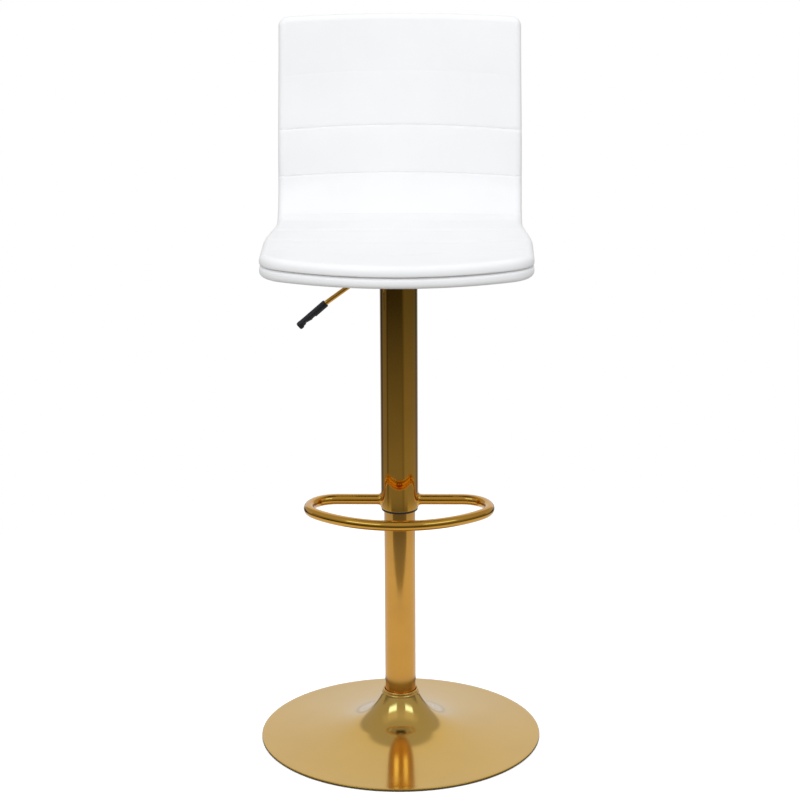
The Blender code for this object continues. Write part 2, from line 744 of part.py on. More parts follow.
def make_lever_bracket():
    """A folded bracket under the plate whose two ears hold the lever's pivot pin."""
    inner = LEVER_ROD_RADIUS + 2 * GAP
    outer = inner + BRACKET_SHEET
    top = plate_bottom_z() - GAP
    bottom = LEVER_Z - 0.006
    outline = [(-outer, bottom), (-inner, bottom), (-inner, top - BRACKET_SHEET), (inner, top - BRACKET_SHEET),
               (inner, bottom), (outer, bottom), (outer, top), (-outer, top)]
    along_x = Matrix(((0, 0, 1, LEVER_PIVOT_X), (1, 0, 0, 0), (0, 1, 0, 0), (0, 0, 0, 1)))
    half = BRACKET_LENGTH / 2
    near_socket = -SOCKET_RADIUS - GAP - LEVER_PIVOT_X
    bracket = prism("lever_bracket", outline, -half, min(half, near_socket), steel_black(), along_x)
    start = (LEVER_PIVOT_X, -0.02, LEVER_Z)
    end = (LEVER_PIVOT_X, 0.02, LEVER_Z)
    boolean(bracket, cylinder_cutter("bracket_pin_drill", PIVOT_PIN_RADIUS + GAP, start, end, 14))
    return bracket


def make_lever_pin():
    ear = LEVER_ROD_RADIUS + 2 * GAP + BRACKET_SHEET + GAP
    head = PIVOT_PIN_RADIUS + 0.0010
    outline = [(0.0, ear + 0.0012), (head, ear + 0.0012), (head, ear), (PIVOT_PIN_RADIUS, ear),
               (PIVOT_PIN_RADIUS, -ear - 0.0012), (0.0, -ear - 0.0012)]
    place = Matrix.Translation((LEVER_PIVOT_X, 0, LEVER_Z)) @ Matrix.Rotation(math.pi / 2, 4, "X")
    return turned("lever_pivot_pin", outline, steel_zinc(), 14, place)


# ======================= upholstered seat and back =======================

def smoothstep(value):
    value = min(1.0, max(0.0, value))
    return value * value * (3 - 2 * value)


def side_path():
    """Lengths along the seam surface, front edge to top edge: where the bend starts and ends, and the end."""
    sweep = math.pi / 2 - RECLINE
    back = (BACK_TOP_Z - SEAM_Z - BEND_RADIUS * (1 - math.cos(sweep))) / math.cos(RECLINE)
    flat = BEND_Y - SEAT_FRONT_Y
    bend = BEND_RADIUS * sweep
    return flat, flat + bend, flat + bend + back


def half_width(length):
    """Half the width of the upholstery at a length along its side path."""
    flat, bend_end, total = side_path()
    y = SEAT_FRONT_Y + length
    seat = smoothstep((WIDEN_FROM_Y - y) / WIDEN_OVER)
    top = smoothstep((length - bend_end) / (total - bend_end))
    return BACK_HALF_WIDTH + (SEAT_HALF_WIDTH - BACK_HALF_WIDTH) * seat + (TOP_HALF_WIDTH - BACK_HALF_WIDTH) * top


def in_space(x, length, height):
    """Point at x across, a length along the side path and a height off the seam surface."""
    flat, bend_end, total = side_path()
    if length <= flat:
        point = Vector((SEAT_FRONT_Y + length, SEAM_Z))
        normal = Vector((0.0, 1.0))
    elif length <= bend_end:
        turn = (length - flat) / BEND_RADIUS
        normal = Vector((-math.sin(turn), math.cos(turn)))
        centre = Vector((SEAT_FRONT_Y + flat, SEAM_Z + BEND_RADIUS))
        point = centre - BEND_RADIUS * normal
    else:
        along = Vector((math.sin(RECLINE), math.cos(RECLINE)))
        normal = Vector((-along.y, along.x))
        bend_top = Vector((SEAT_FRONT_Y + flat, SEAM_Z + BEND_RADIUS)) - BEND_RADIUS * normal
        point = bend_top + along * (length - bend_end)
    wrap = BACK_WRAP * (x / BACK_HALF_WIDTH) ** 2 * smoothstep((length - flat) / (bend_end - flat + 0.04))
    place = point + height * normal
    return Vector((x, place.x - wrap, place.y))


def sheet_grid(inset, columns=8, corner_rows=3, seat_rows=4, bend_rows=6, back_rows=3):
    """Rows of (x, length) that cover the flat pattern, drawn in by inset all round."""
    flat, bend_end, total = side_path()
    front_corner = FRONT_CORNER - inset
    top_corner = TOP_CORNER - inset
    turns = [math.pi / 2 * k / corner_rows for k in range(corner_rows + 1)]
    rows = [(inset + front_corner * (1 - math.cos(t)), front_corner * (1 - math.sin(t))) for t in turns]
    seat = np.linspace(rows[-1][0], flat, seat_rows + 1)[1:]
    bend = np.linspace(flat, bend_end, bend_rows + 1)[1:]
    back = np.linspace(bend_end, total - TOP_CORNER, back_rows + 1)[1:]
    rows += [(length, 0.0) for length in (*seat, *bend, *back)]
    rows += [(total - inset - top_corner * (1 - math.sin(t)), top_corner * (1 - math.cos(t))) for t in turns[1:]]
    grid = []
    for length, cut_in in rows:
        half = half_width(length) - inset - cut_in
        line = []
        for k in range(columns + 1):
            x = half * (2 * k / columns - 1)
            bow = FRONT_ARC_RADIUS - math.sqrt(FRONT_ARC_RADIUS**2 - x**2)
            front_share = max(0.0, 1 - (length - inset) / flat)
            top_share = smoothstep((length - bend_end) / (total - bend_end))
            drop = TOP_ARCH * (x / BACK_HALF_WIDTH) ** 2
            line.append((x, length + bow * front_share**1.5 - drop * top_share))
        grid.append(line)
    return grid


def boundary(rows, columns):
    """Grid places round the edge of a sheet, in order."""
    front = [(0, k) for k in range(columns)]
    right = [(r, columns) for r in range(rows)]
    top = [(rows, k) for k in range(columns, 0, -1)]
    left = [(r, 0) for r in range(rows, 0, -1)]
    return front + right + top + left


def upholstery_piece(name, layers, finish):
    """A closed piece from layers [(inset, height), ...]: sheets at both ends, loops round the edge between."""
    bm = bmesh.new()
    loops = []
    for i, (inset, height) in enumerate(layers):
        grid = sheet_grid(inset)
        rows, columns = len(grid) - 1, len(grid[0]) - 1
        places = boundary(rows, columns)
        if i in (0, len(layers) - 1):
            verts = [[bm.verts.new(in_space(x, length, height)) for x, length in line] for line in grid]
            for r in range(rows):
                for k in range(columns):
                    bm.faces.new((verts[r][k], verts[r][k + 1], verts[r + 1][k + 1], verts[r + 1][k]))
            loops.append([verts[r][k] for r, k in places])
        else:
            loops.append([bm.verts.new(in_space(*grid[r][k], height)) for r, k in places])
    for lower, upper in zip(loops, loops[1:]):
        for k in range(len(lower)):
            after = (k + 1) % len(lower)
            bm.faces.new((lower[k], lower[after], upper[after], upper[k]))
    return mesh_object(name, bm, finish, 50.0)


def make_front_cushion():
    top = CUSHION_THICKNESS
    layers = [(0.0015, 0.0), (0.0, 0.0015), (0.0, top - EDGE_ROUND), (EDGE_ROUND * 0.3, top - EDGE_ROUND * 0.3),
              (EDGE_ROUND, top)]
    return upholstery_piece("front_cushion", layers, white_vinyl())


def make_rear_cover():
    """The padded under and rear panel, a tray whose rim closes round the shell's edge."""
    bottom = -COVER_THICKNESS
    layers = [(EDGE_ROUND, bottom), (EDGE_ROUND * 0.3, bottom + EDGE_ROUND * 0.3), (0.0, bottom + EDGE_ROUND),
              (0.0, -0.0015), (0.0015, -GAP), (COVER_WALL, -GAP), (COVER_WALL, bottom + COVER_FLOOR)]
    cover = upholstery_piece("rear_cover", layers, white_vinyl())
    drill_for_bolts(cover, BOLT_RADIUS + GAP, plate_top_z() - 0.01, SEAM_Z)
    return cover


def make_seat_shell():
    inset = COVER_WALL + GAP
    layers = [(inset, -COVER_THICKNESS + COVER_FLOOR + GAP), (inset, -SHELL_RECESS)]
    shell = upholstery_piece("seat_shell", layers, plywood())
    drill_for_bolts(shell, NUT_BARREL_RADIUS + GAP, SEAM_Z - COVER_THICKNESS, SEAM_Z + 0.01)
    return shell


# ======================= assembly =======================

def build():
    clear_scene()
    lower, middle, upper, bump = bearing_levels()
    swivel = axis_empty("seat_swivel_axis", (0, 0, 0))
    slide = axis_empty("height_slide_axis", (0, 0, 0), swivel)
    pivot = axis_empty("lever_lift_axis", (LEVER_PIVOT_X, 0, LEVER_Z), slide)
    valve = axis_empty("valve_press_axis", (0, 0, 0), slide)

    make_base_dome()
    make_floor_ring()
    make_stiffener()
    make_hub()
    make_column_tube()
    make_guide_bush()
    make_thrust_washer("lower_thrust_washer", lower)
    make_ball_cage(middle)

    attach(make_thrust_washer("upper_thrust_washer", upper), swivel)
    attach(make_rod_clip(), swivel)
    attach(make_bump_stop(bump), swivel)
    attach(make_piston_rod(), swivel)

    for piece in (make_gas_cylinder(), make_sleeve(), make_sleeve_bush(), make_sleeve_cap(), make_footrest_ring(),
                  make_weld("footrest_weld_left", -1), make_weld("footrest_weld_right", 1), make_seat_socket(),
                  make_seat_plate(), make_lever_bracket(), make_lever_pin(), make_front_cushion(),
                  make_rear_cover(), make_seat_shell()):
        attach(piece, slide)
    make_bolts(slide)

    attach(make_lever_rod(), pivot)
    attach(make_lever_grip(), pivot)
    attach(make_valve_button(), valve)


build()
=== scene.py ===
import math

import bmesh
import bpy
import numpy as np
from bpy.props import FloatProperty, FloatVectorProperty, IntProperty, PointerProperty
from mathutils import Matrix, Vector


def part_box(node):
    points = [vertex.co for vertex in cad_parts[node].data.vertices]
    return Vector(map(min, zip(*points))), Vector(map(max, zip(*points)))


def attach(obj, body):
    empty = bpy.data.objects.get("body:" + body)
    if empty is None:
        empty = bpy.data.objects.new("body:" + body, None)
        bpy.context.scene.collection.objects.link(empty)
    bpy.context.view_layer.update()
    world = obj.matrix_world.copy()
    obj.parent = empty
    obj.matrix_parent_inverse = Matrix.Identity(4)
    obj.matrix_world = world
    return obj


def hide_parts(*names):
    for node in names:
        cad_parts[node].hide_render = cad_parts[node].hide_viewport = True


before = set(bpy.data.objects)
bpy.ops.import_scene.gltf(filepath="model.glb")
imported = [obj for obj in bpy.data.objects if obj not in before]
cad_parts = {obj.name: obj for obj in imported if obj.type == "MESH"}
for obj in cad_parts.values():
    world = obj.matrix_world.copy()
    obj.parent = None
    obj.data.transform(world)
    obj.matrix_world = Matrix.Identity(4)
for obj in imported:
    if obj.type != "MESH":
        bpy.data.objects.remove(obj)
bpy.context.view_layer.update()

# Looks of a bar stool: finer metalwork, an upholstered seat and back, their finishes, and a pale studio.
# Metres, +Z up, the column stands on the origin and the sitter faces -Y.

bl_info = {
    "name": "Bar Stool Looks",
    "version": (1, 0, 0),
    "blender": (4, 5, 0),
    "location": "3D View > Sidebar > Bar Stool",
    "description": "Builds the metalwork, upholstery, finishes and studio of a gas-lift bar stool",
    "category": "Object",
}

GAP = 0.0003

# ---- sizes read off the frame ----
BASE_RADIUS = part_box("base_dome")[1].x
COLUMN_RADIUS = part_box("column_tube")[1].x
COLUMN_TOP_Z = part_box("column_tube")[1].z
COLUMN_BOTTOM_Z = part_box("column_tube")[0].z
RIM_BOTTOM_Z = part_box("base_dome")[0].z
SLEEVE_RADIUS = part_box("footrest_sleeve")[1].x
SLEEVE_BOTTOM_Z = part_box("footrest_sleeve")[0].z
SLEEVE_TOP_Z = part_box("footrest_sleeve")[1].z
RING_Z = (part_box("footrest_ring")[0].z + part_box("footrest_ring")[1].z) / 2
RING_TUBE_RADIUS = (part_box("footrest_ring")[1].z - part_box("footrest_ring")[0].z) / 2
RING_FRONT_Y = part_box("footrest_ring")[0].y + RING_TUBE_RADIUS
SEAM_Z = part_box("front_cushion")[0].z
SEAT_HALF_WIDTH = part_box("front_cushion")[1].x
PLATE_TOP_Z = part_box("seat_plate")[1].z
PLATE_BOTTOM_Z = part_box("seat_plate")[0].z
PLATE_HALF_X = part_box("seat_plate")[1].x
PLATE_HALF_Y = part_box("seat_plate")[1].y
LEVER_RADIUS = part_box("lever_rod")[1].y

# ---- forms that the frame's boxes don't give, as the CAD has them ----
BASE_SHEET = 0.0015
RIM_TOP_Z = 0.0050
RIM_ROUND = 0.0012
FLOOR_RING_WIDTH = 0.020
DOME_RISE = 0.024
DOME_FALL_POWER = 1.3
BELL_RISE = 0.053
BELL_SPREAD = 0.0225
COLLAR_ROLL = 0.0028
COLLAR_AIR = 0.0012
TUBE_WALL = 0.0015          # of the column and of the sleeve
COLUMN_TAPER = 0.0012
COLUMN_FLOOR = 0.0025
ROD_HOLE_RADIUS = 0.006
SOCKET_WALL = 0.0025
SOCKET_WELD = 0.0035
PLATE_CORNER = 0.012
BOLT_SHANK_RADIUS = 0.003
BRACKET_SHEET = 0.0020
RING_ARC_RADIUS = 0.1750
RING_CORNER_RADIUS = 0.042
LEVER_Z = 0.760
LEVER_PIVOT_X = -0.030
LEVER_BEND_X = -0.0312
LEVER_BEND_RADIUS = 0.012
LEVER_SLOPE = math.radians(36.5)
LEVER_SLOPE_TO_GRIP = 0.0873
GRIP_SLOPE = math.radians(41.5)
GRIP_LENGTH = 0.057
GRIP_RADIUS = 0.0058
GRIP_MOUTH = 0.002          # where the grip starts on the rod, and how deep its bore goes
GRIP_BORE = 0.042
SEAT_FRONT_Y = -0.212
BACK_HALF_WIDTH = 0.1875
TOP_HALF_WIDTH = 0.1855
WIDEN_FROM_Y = 0.110
WIDEN_OVER = 0.160
FRONT_ARC_RADIUS = 0.360
FRONT_CORNER = 0.030
TOP_CORNER = 0.014
TOP_ARCH = 0.003
BEND_RADIUS = 0.100
RECLINE = math.radians(9.0)
BACK_TOP_Z = 1.112
BEND_Y = 0.0674
BACK_WRAP = 0.020
CUSHION_THICKNESS = 0.019
COVER_THICKNESS = 0.018
COVER_WALL = 0.0115
COVER_FLOOR = 0.0055
EDGE_ROUND = 0.010
CUSHION_FACE = CUSHION_THICKNESS - 0.0012
COVER_FACE = 0.0006 - COVER_THICKNESS


# ======================= settings =======================

def colour_setting(name, description, default):
    return FloatVectorProperty(name=name, description=description, subtype="COLOR", default=default,
                               min=0.0, max=1.0)


def length_setting(name, description, default, least, most):
    return FloatProperty(name=name, description=description, unit="LENGTH", default=default, min=least,
                         max=most)


def angle_setting(name, description, degrees, least, most):
    return FloatProperty(name=name, description=description, subtype="ANGLE", default=math.radians(degrees),
                         min=least, max=most)


class StoolColours(bpy.types.PropertyGroup):
    """Colours of the finishes"""

    polished_gold: colour_setting("Polished gold", "Colour of the sleeve, footrest and lever",
                                  (0.84, 0.42, 0.025))
    column_gold: colour_setting("Column gold", "Colour of the fixed column", (0.84, 0.415, 0.050))
    satin_gold: colour_setting("Satin gold", "Colour of the spun base", (0.83, 0.505, 0.090))
    vinyl: colour_setting("Vinyl", "Colour of the upholstery", (0.86, 0.857, 0.849))


class UpholsterySizes(bpy.types.PropertyGroup):
    """Sizes of the padded seat and back"""

    crown: length_setting("Crown", "How far the cushion swells between its sewn channels", 0.0018, 0.0, 0.006)
    cover_crown: length_setting("Rear crown", "How far the rear cover swells", 0.0024, 0.0, 0.006)
    channel_depth: length_setting("Channel depth", "Depth of the deepest sewn channel", 0.0017, 0.0, 0.006)
    channel_width: length_setting("Channel width", "Half width of a sewn channel at half its depth",
                                  0.0012, 0.0005, 0.006)
    pucker: length_setting("Pucker", "Height of the small gathers beside a channel", 0.00016, 0.0, 0.001)
    stitch_pitch: length_setting("Stitch pitch", "Distance from one stitch to the next", 0.0042, 0.002, 0.01)
    pressure: FloatProperty(
        name="Foam pressure", description="Pressure under the vinyl in the cloth simulation", default=4.0,
        min=0.0, max=20.0)


class MetalSizes(bpy.types.PropertyGroup):
    """Sizes of the metalwork's finer forms"""

    turned_sides: IntProperty(
        name="Turned sides", description="Sides of a large turned piece", default=192, min=24, max=512)
    edge_break: length_setting("Edge break", "Radius on the edges of the column tube", 0.0004, 0.0, 0.002)
    weld_length: length_setting("Weld length", "How far the weld runs along the footrest tube",
                                0.0068, 0.001, 0.02)
    weld_width: length_setting("Weld width", "How far the weld runs over the sleeve", 0.0045, 0.001, 0.02)
    notch_depth: length_setting("Finger notch", "Depth of the finger notches under the lever's grip",
                                0.0021, 0.0, 0.004)


class StudioSizes(bpy.types.PropertyGroup):
    """Camera and floor of the studio"""

    camera_distance: length_setting("Camera distance", "Level distance from the column to the camera",
                                    4.0, 1.0, 20.0)
    camera_height: length_setting("Camera height", "Height of the camera over the floor", 1.749876, 0.1, 10.0)
    camera_aside: length_setting("Camera aside", "How far the camera stands to the right of the middle",
                                 0.0013, -1.0, 1.0)
    camera_pitch: angle_setting("Camera pitch", "How far the camera looks down", 16.6754, 0.0, 1.5)
    camera_turn: angle_setting("Camera turn", "How far round the column the camera stands", 1.2, -3.2, 3.2)
    camera_roll: angle_setting("Camera roll", "How far the camera leans", -0.28, -0.5, 0.5)
    lens: FloatProperty(
        name="Lens", description="Focal length on a 36 mm sensor", subtype="DISTANCE_CAMERA",
        default=123.17, min=10.0, max=500.0)
    floor_radius: length_setting("Floor radius", "Radius of the pale floor", 1.25, 0.5, 20.0)


# ======================= finishes =======================

class Level:
    """A number that changes over a surface: a socket that takes part in sums."""

    def __init__(self, finish, socket):
        self.finish = finish
        self.socket = socket

    def __add__(self, other):
        return self.finish.maths("ADD", self, other)

    def __radd__(self, other):
        return self.finish.maths("ADD", other, self)

    def __sub__(self, other):
        return self.finish.maths("SUBTRACT", self, other)

    def __rsub__(self, other):
        return self.finish.maths("SUBTRACT", other, self)

    def __mul__(self, other):
        return self.finish.maths("MULTIPLY", self, other)

    def __rmul__(self, other):
        return self.finish.maths("MULTIPLY", other, self)


class Finish:
    """A node tree and the few ways this file adds to it."""

    def __init__(self, tree):
        self.tree = tree
        self.tree.nodes.clear()

    def node(self, kind, settings=None, sockets=None):
        """A node of a type, with its settings set first and then its sockets' values or links."""
        made = self.tree.nodes.new(kind)
        for name, value in (settings or {}).items():
            setattr(made, name, value)
        for name, value in (sockets or {}).items():
            self.feed(made.inputs[name], value)
        return made

    def feed(self, socket, value):
        if isinstance(value, Level):
            value = value.socket
        if isinstance(value, bpy.types.NodeSocket):
            self.tree.links.new(value, socket)
        elif socket.type == "RGBA" and len(value) == 3:
            socket.default_value = (*value, 1.0)
        else:
            socket.default_value = value

    def maths(self, operation, first, second=0.0):
        made = self.node("ShaderNodeMath", {"operation": operation}, {0: first, 1: second})
        return Level(self, made.outputs[0])

    def places(self, kind="Object"):
        return self.node("ShaderNodeTexCoord").outputs[kind]

    def stretched(self, places, scale):
        made = self.node("ShaderNodeVectorMath", {"operation": "MULTIPLY"}, {0: places, 1: scale})
        return made.outputs[0]

    def split(self, places):
        made = self.node("ShaderNodeSeparateXYZ", None, {"Vector": places})
        return [Level(self, made.outputs[k]) for k in range(3)]

    def noise(self, places, scale, detail=2.0, roughness=0.5):
        made = self.node("ShaderNodeTexNoise", None,
                         {"Vector": places, "Scale": scale, "Detail": detail, "Roughness": roughness})
        return Level(self, made.outputs["Fac"])

    def cells(self, places, scale, feature="DISTANCE_TO_EDGE", randomness=1.0):
        made = self.node("ShaderNodeTexVoronoi", {"feature": feature},
                         {"Vector": places, "Scale": scale, "Randomness": randomness})
        return Level(self, made.outputs["Distance"])

    def between(self, value, low, high, to_low=0.0, to_high=1.0, smooth=True):
        kind = "SMOOTHSTEP" if smooth else "LINEAR"
        made = self.node("ShaderNodeMapRange", {"interpolation_type": kind},
                         {"Value": value, "From Min": low, "From Max": high, "To Min": to_low,
                          "To Max": to_high})
        return Level(self, made.outputs["Result"])

    def reach(self, across, along):
        """Distance from the vertical axis."""
        return self.maths("SQRT", across * across + along * along)

    def blend(self, share, first, second):
        """A colour between two colours."""
        made = self.node("ShaderNodeMix", {"data_type": "RGBA"}, {"Factor": share, 6: first, 7: second})
        return made.outputs[2]

    def bump(self, height, distance, strength=1.0, over=None):
        sockets = {"Height": height, "Distance": distance, "Strength": strength}
        if over is not None:
            sockets["Normal"] = over
        return self.node("ShaderNodeBump", None, sockets).outputs["Normal"]

    def surface(self, sockets):
        shader = self.node("ShaderNodeBsdfPrincipled", None, sockets)
        self.node("ShaderNodeOutputMaterial", None, {"Surface": shader.outputs[0]})


def finish_named(name):
    made = bpy.data.materials.new("finish_" + name)
    made.use_nodes = True
    return made, Finish(made.node_tree)


def scaled(colour, share):
    return tuple(min(1.0, channel * share) for channel in colour)


def make_vinyl(finish, colour):
    """Smooth soft-grained vinyl: fine pebble grain, faint tone clouds, painted shade in the grain's valleys
    and a dull sheen.
    """
    places = finish.places()
    clouds = finish.between(finish.noise(places, 7.0, 3.0), 0.35, 0.65)
    warp = finish.noise(places, 420.0, 2.0)
    pebbles = finish.between(finish.cells(places, 760.0), 0.0, 0.30)
    fine = finish.noise(places, 2600.0, 2.0)
    grain = pebbles * 0.7 + warp * 0.6 + fine * 0.25
    # the colour is a little darker where the tone clouds are low, at random, and darker in the pebbles'
    # valleys as painted shade
    tone = clouds * 0.7 + pebbles * 0.3
    normal = finish.bump(grain, 0.00005, 0.55)
    normal = finish.bump(finish.noise(places, 38.0, 2.0), 0.0007, 0.25, normal)
    finish.surface({
        "Base Color": finish.blend(tone, scaled(colour, 0.972), colour),
        "Roughness": finish.between(clouds + warp * 0.4, 0.0, 1.4, 0.40, 0.50),
        "Specular IOR Level": 0.42,
        "Sheen Weight": 0.04,
        "Sheen Roughness": 0.4,
        "Normal": normal,
    })


def make_polished_gold(finish, colour, roughness):
    """Plated and polished tube: mirror gloss with faint drawing lines, haze and rare specks."""
    places = finish.places()
    lines = finish.noise(finish.stretched(places, (90.0, 90.0, 9.0)), 12.0, 3.0)
    haze = finish.between(finish.noise(places, 16.0, 4.0, 0.6), 0.35, 0.75)
    specks = finish.between(finish.cells(places, 260.0, "F1"), 0.02, 0.05, 1.0, 0.0)
    rare = finish.between(finish.noise(places, 60.0, 1.0), 0.62, 0.68)
    finish.surface({
        "Base Color": finish.blend(haze, colour, scaled(colour, 0.93)),
        "Metallic": 1.0,
        "Roughness": haze * 0.035 + lines * 0.02 + specks * rare * 0.15 + (roughness - 0.02),
        "Coat Weight": 1.0,
        "Coat Roughness": 0.03,
        "Normal": finish.bump(lines, 0.00001, 0.5),
    })


def make_satin_gold(finish, colour):
    """Spun and brushed sheet: concentric spin marks, a soft cloudy lustre and a slightly worn rim."""
    places = finish.places()
    across, along, up = finish.split(places)
    radius = finish.reach(across, along)
    turn = finish.maths("ARCTAN2", along, across)
    spun = finish.node("ShaderNodeCombineXYZ", None, {"X": radius * 900.0, "Y": turn * 2.2, "Z": up * 300.0})
    marks = finish.noise(spun.outputs[0], 1.0, 4.0, 0.65)
    coarse = finish.node("ShaderNodeCombineXYZ", None, {"X": radius * 160.0, "Y": turn * 0.9, "Z": up * 60.0})
    bands = finish.noise(coarse.outputs[0], 1.0, 2.0, 0.5)
    clouds = finish.between(finish.noise(places, 9.0, 4.0, 0.6), 0.3, 0.7)
    worn = finish.between(radius, BASE_RADIUS - 0.0016, BASE_RADIUS - 0.0004)
    finish.surface({
        "Base Color": finish.blend(clouds * 0.5 + marks * 0.5, scaled(colour, 0.93), scaled(colour, 1.03)),
        "Metallic": 1.0,
        "Roughness": clouds * 0.03 + marks * 0.03 + bands * 0.02 + worn * 0.06 + 0.08,
        "Coat Weight": 1.0,
        "Coat Roughness": 0.12,
        "Normal": finish.bump(bands * 0.5 + marks, 0.000004, 0.6),
    })


def make_plastic(finish, colour, roughness, grain):
    """Moulded plastic with a fine spark-eroded texture."""
    places = finish.places()
    erosion = finish.noise(places, 1500.0, 3.0, 0.7)
    rubbed = finish.between(finish.noise(places, 55.0, 3.0), 0.45, 0.7)
    finish.surface({
        "Base Color": finish.blend(rubbed, colour, scaled(colour, 1.35)),
        "Roughness": erosion * 0.10 + (roughness - 0.05) - rubbed * 0.05,
        "Specular IOR Level": 0.45,
        "Normal": finish.bump(erosion, grain, 0.8),
    })


def make_rubber(finish):
    """Dull rubber with a dusty bloom."""
    places = finish.places()
    dust = finish.between(finish.noise(places, 90.0, 4.0, 0.7), 0.4, 0.75)
    finish.surface({
        "Base Color": finish.blend(dust, (0.018, 0.018, 0.019), (0.045, 0.044, 0.042)),
        "Roughness": dust * 0.12 + 0.72,
        "Specular IOR Level": 0.3,
        "Normal": finish.bump(finish.noise(places, 900.0, 2.0), 0.00006, 0.7),
    })


def make_zinc(finish):
    """Bright zinc plate on small steel: crystalline tone patches and fine turning marks."""
    places = finish.places()
    spangle = finish.cells(places, 420.0, "F1")
    turning = finish.noise(finish.stretched(places, (1.0, 1.0, 14.0)), 260.0, 2.0)
    finish.surface({
        "Base Color": finish.blend(finish.between(spangle, 0.1, 0.8), (0.66, 0.68, 0.71), (0.52, 0.54, 0.58)),
        "Metallic": 1.0,
        "Roughness": spangle * 0.12 + turning * 0.10 + 0.24,
        "Normal": finish.bump(turning, 0.00002, 0.6),
    })


def make_powder_coat(finish):
    """Black powder coat with orange peel."""
    places = finish.places()
    peel = finish.noise(places, 620.0, 2.0, 0.4)
    speckle = finish.noise(places, 2400.0, 1.0)
    finish.surface({
        "Base Color": finish.blend(speckle, (0.014, 0.014, 0.015), (0.030, 0.030, 0.032)),
        "Roughness": peel * 0.10 + 0.36,
        "Specular IOR Level": 0.5,
        "Normal": finish.bump(peel, 0.00014, 0.6),
    })


def make_plywood(finish):
    """Birch ply: long faint grain on the faces and fine pores."""
    places = finish.places()
    warp = finish.noise(places, 5.0, 3.0)
    grain = finish.noise(finish.stretched(places, (55.0, 2.2, 2.2)), 3.0, 5.0, 0.6)
    pores = finish.noise(finish.stretched(places, (700.0, 40.0, 40.0)), 1.0, 2.0)
    tone = finish.between(grain * 0.8 + warp * 0.3, 0.35, 0.75)
    finish.surface({
        "Base Color": finish.blend(tone, (0.50, 0.33, 0.18), (0.68, 0.50, 0.31)),
        "Roughness": grain * 0.15 + 0.58,
        "Normal": finish.bump(grain + pores * 0.5, 0.00012, 0.6),
    })


def make_thread(finish):
    """Bonded white sewing thread."""
    places = finish.places()
    twist = finish.node("ShaderNodeTexWave", {"bands_direction": "DIAGONAL"},
                        {"Vector": places, "Scale": 900.0, "Distortion": 1.0}).outputs["Fac"]
    twist = Level(finish, twist)
    finish.surface({
        "Base Color": finish.blend(twist, (0.80, 0.80, 0.79), (0.90, 0.90, 0.89)),
        "Roughness": twist * 0.1 + 0.5,
        "Normal": finish.bump(twist, 0.00006, 0.6),
    })


FINISHES = {}


def finish_of(slot):
    """The material of one of the record's slots, made once."""
    if slot in FINISHES:
        return FINISHES[slot]
    colours = bpy.context.scene.stool_colours
    makers = {
        "gold_polished": (make_polished_gold, colours.polished_gold, 0.07),
        "gold_column": (make_polished_gold, colours.column_gold, 0.12),
        "gold_satin": (make_satin_gold, colours.satin_gold),
        "white_vinyl": (make_vinyl, colours.vinyl),
        "black_plastic": (make_plastic, (0.016, 0.016, 0.017), 0.38, 0.00003),
        "black_rubber": (make_rubber,),
        "nylon": (make_plastic, (0.72, 0.71, 0.67), 0.45, 0.00002),
        "zinc_steel": (make_zinc,),
        "black_steel": (make_powder_coat,),
        "plywood": (make_plywood,),
        "thread": (make_thread,),
    }
    made, finish = finish_named(slot)
    maker, *values = makers[slot]
    maker(finish, *values)
    FINISHES[slot] = made
    return made


# ======================= mesh helpers =======================

def smooth(value):
    """The smooth step from 0 to 1."""
    value = np.clip(value, 0.0, 1.0)
    return value * value * (3 - 2 * value)


def face_outwards(bm):
    bmesh.ops.recalc_face_normals(bm, faces=bm.faces)
    if bm.calc_volume(signed=True) < 0:
        bmesh.ops.reverse_faces(bm, faces=bm.faces)


def circle(count):
    """The angles of evenly spaced points round a circle."""
    return [2 * math.pi * k / count for k in range(count)]


def bridge(bm, first, second):
    """Faces between two closed loops with the same number of vertices."""
    for k in range(len(first)):
        after = (k + 1) % len(first)
        bm.faces.new((first[k], first[after], second[after], second[k]))


def piece(name, bm, slot, body, stands_for=(), smooth_angle=40.0):
    """A finished piece from a bmesh: outward normals, smooth shading, its finish, body and CAD nodes."""
    face_outwards(bm)
    mesh = bpy.data.meshes.new(name)
    bm.to_mesh(mesh)
    bm.free()
    mesh.shade_smooth()
    mesh.set_sharp_from_angle(angle=math.radians(smooth_angle))
    mesh.materials.append(finish_of(slot))
    made = bpy.data.objects.new(name, mesh)
    bpy.context.scene.collection.objects.link(made)
    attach(made, body)
    if stands_for:
        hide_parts(*stands_for)
    return made


def arc_points(centre, radius, start, end, count):
    """Points of an arc from angle start to end, in degrees, both ends included."""
    angles = np.radians(np.linspace(start, end, count))
    return [(centre[0] + radius * math.cos(a), centre[1] + radius * math.sin(a)) for a in angles]


def filleted(outline, radius, steps=3):
    """A closed outline with rounded corners, and a support point beside each so that long faces stay true."""
    made = []
    for i, place in enumerate(outline):
        corner = Vector(place)
        before = Vector(outline[i - 1]) - corner
        after = Vector(outline[(i + 1) % len(outline)]) - corner
        turn = before.angle(after)
        if corner.x < 1e-6 or turn > math.radians(172):
            made.append(tuple(corner))
            continue
        reach = min(radius / math.tan(turn / 2), 0.40 * before.length, 0.40 * after.length)
        start = corner + before.normalized() * reach
        end = corner + after.normalized() * reach
        if before.length > 5 * reach:
            made.append(tuple(start + before.normalized() * 0.5 * radius))
        for k in range(steps + 1):
            share = k / steps
            point = (1 - share) ** 2 * start + 2 * share * (1 - share) * corner + share**2 * end
            made.append(tuple(point))
        if after.length > 5 * reach:
            made.append(tuple(end + after.normalized() * 0.5 * radius))
    return made


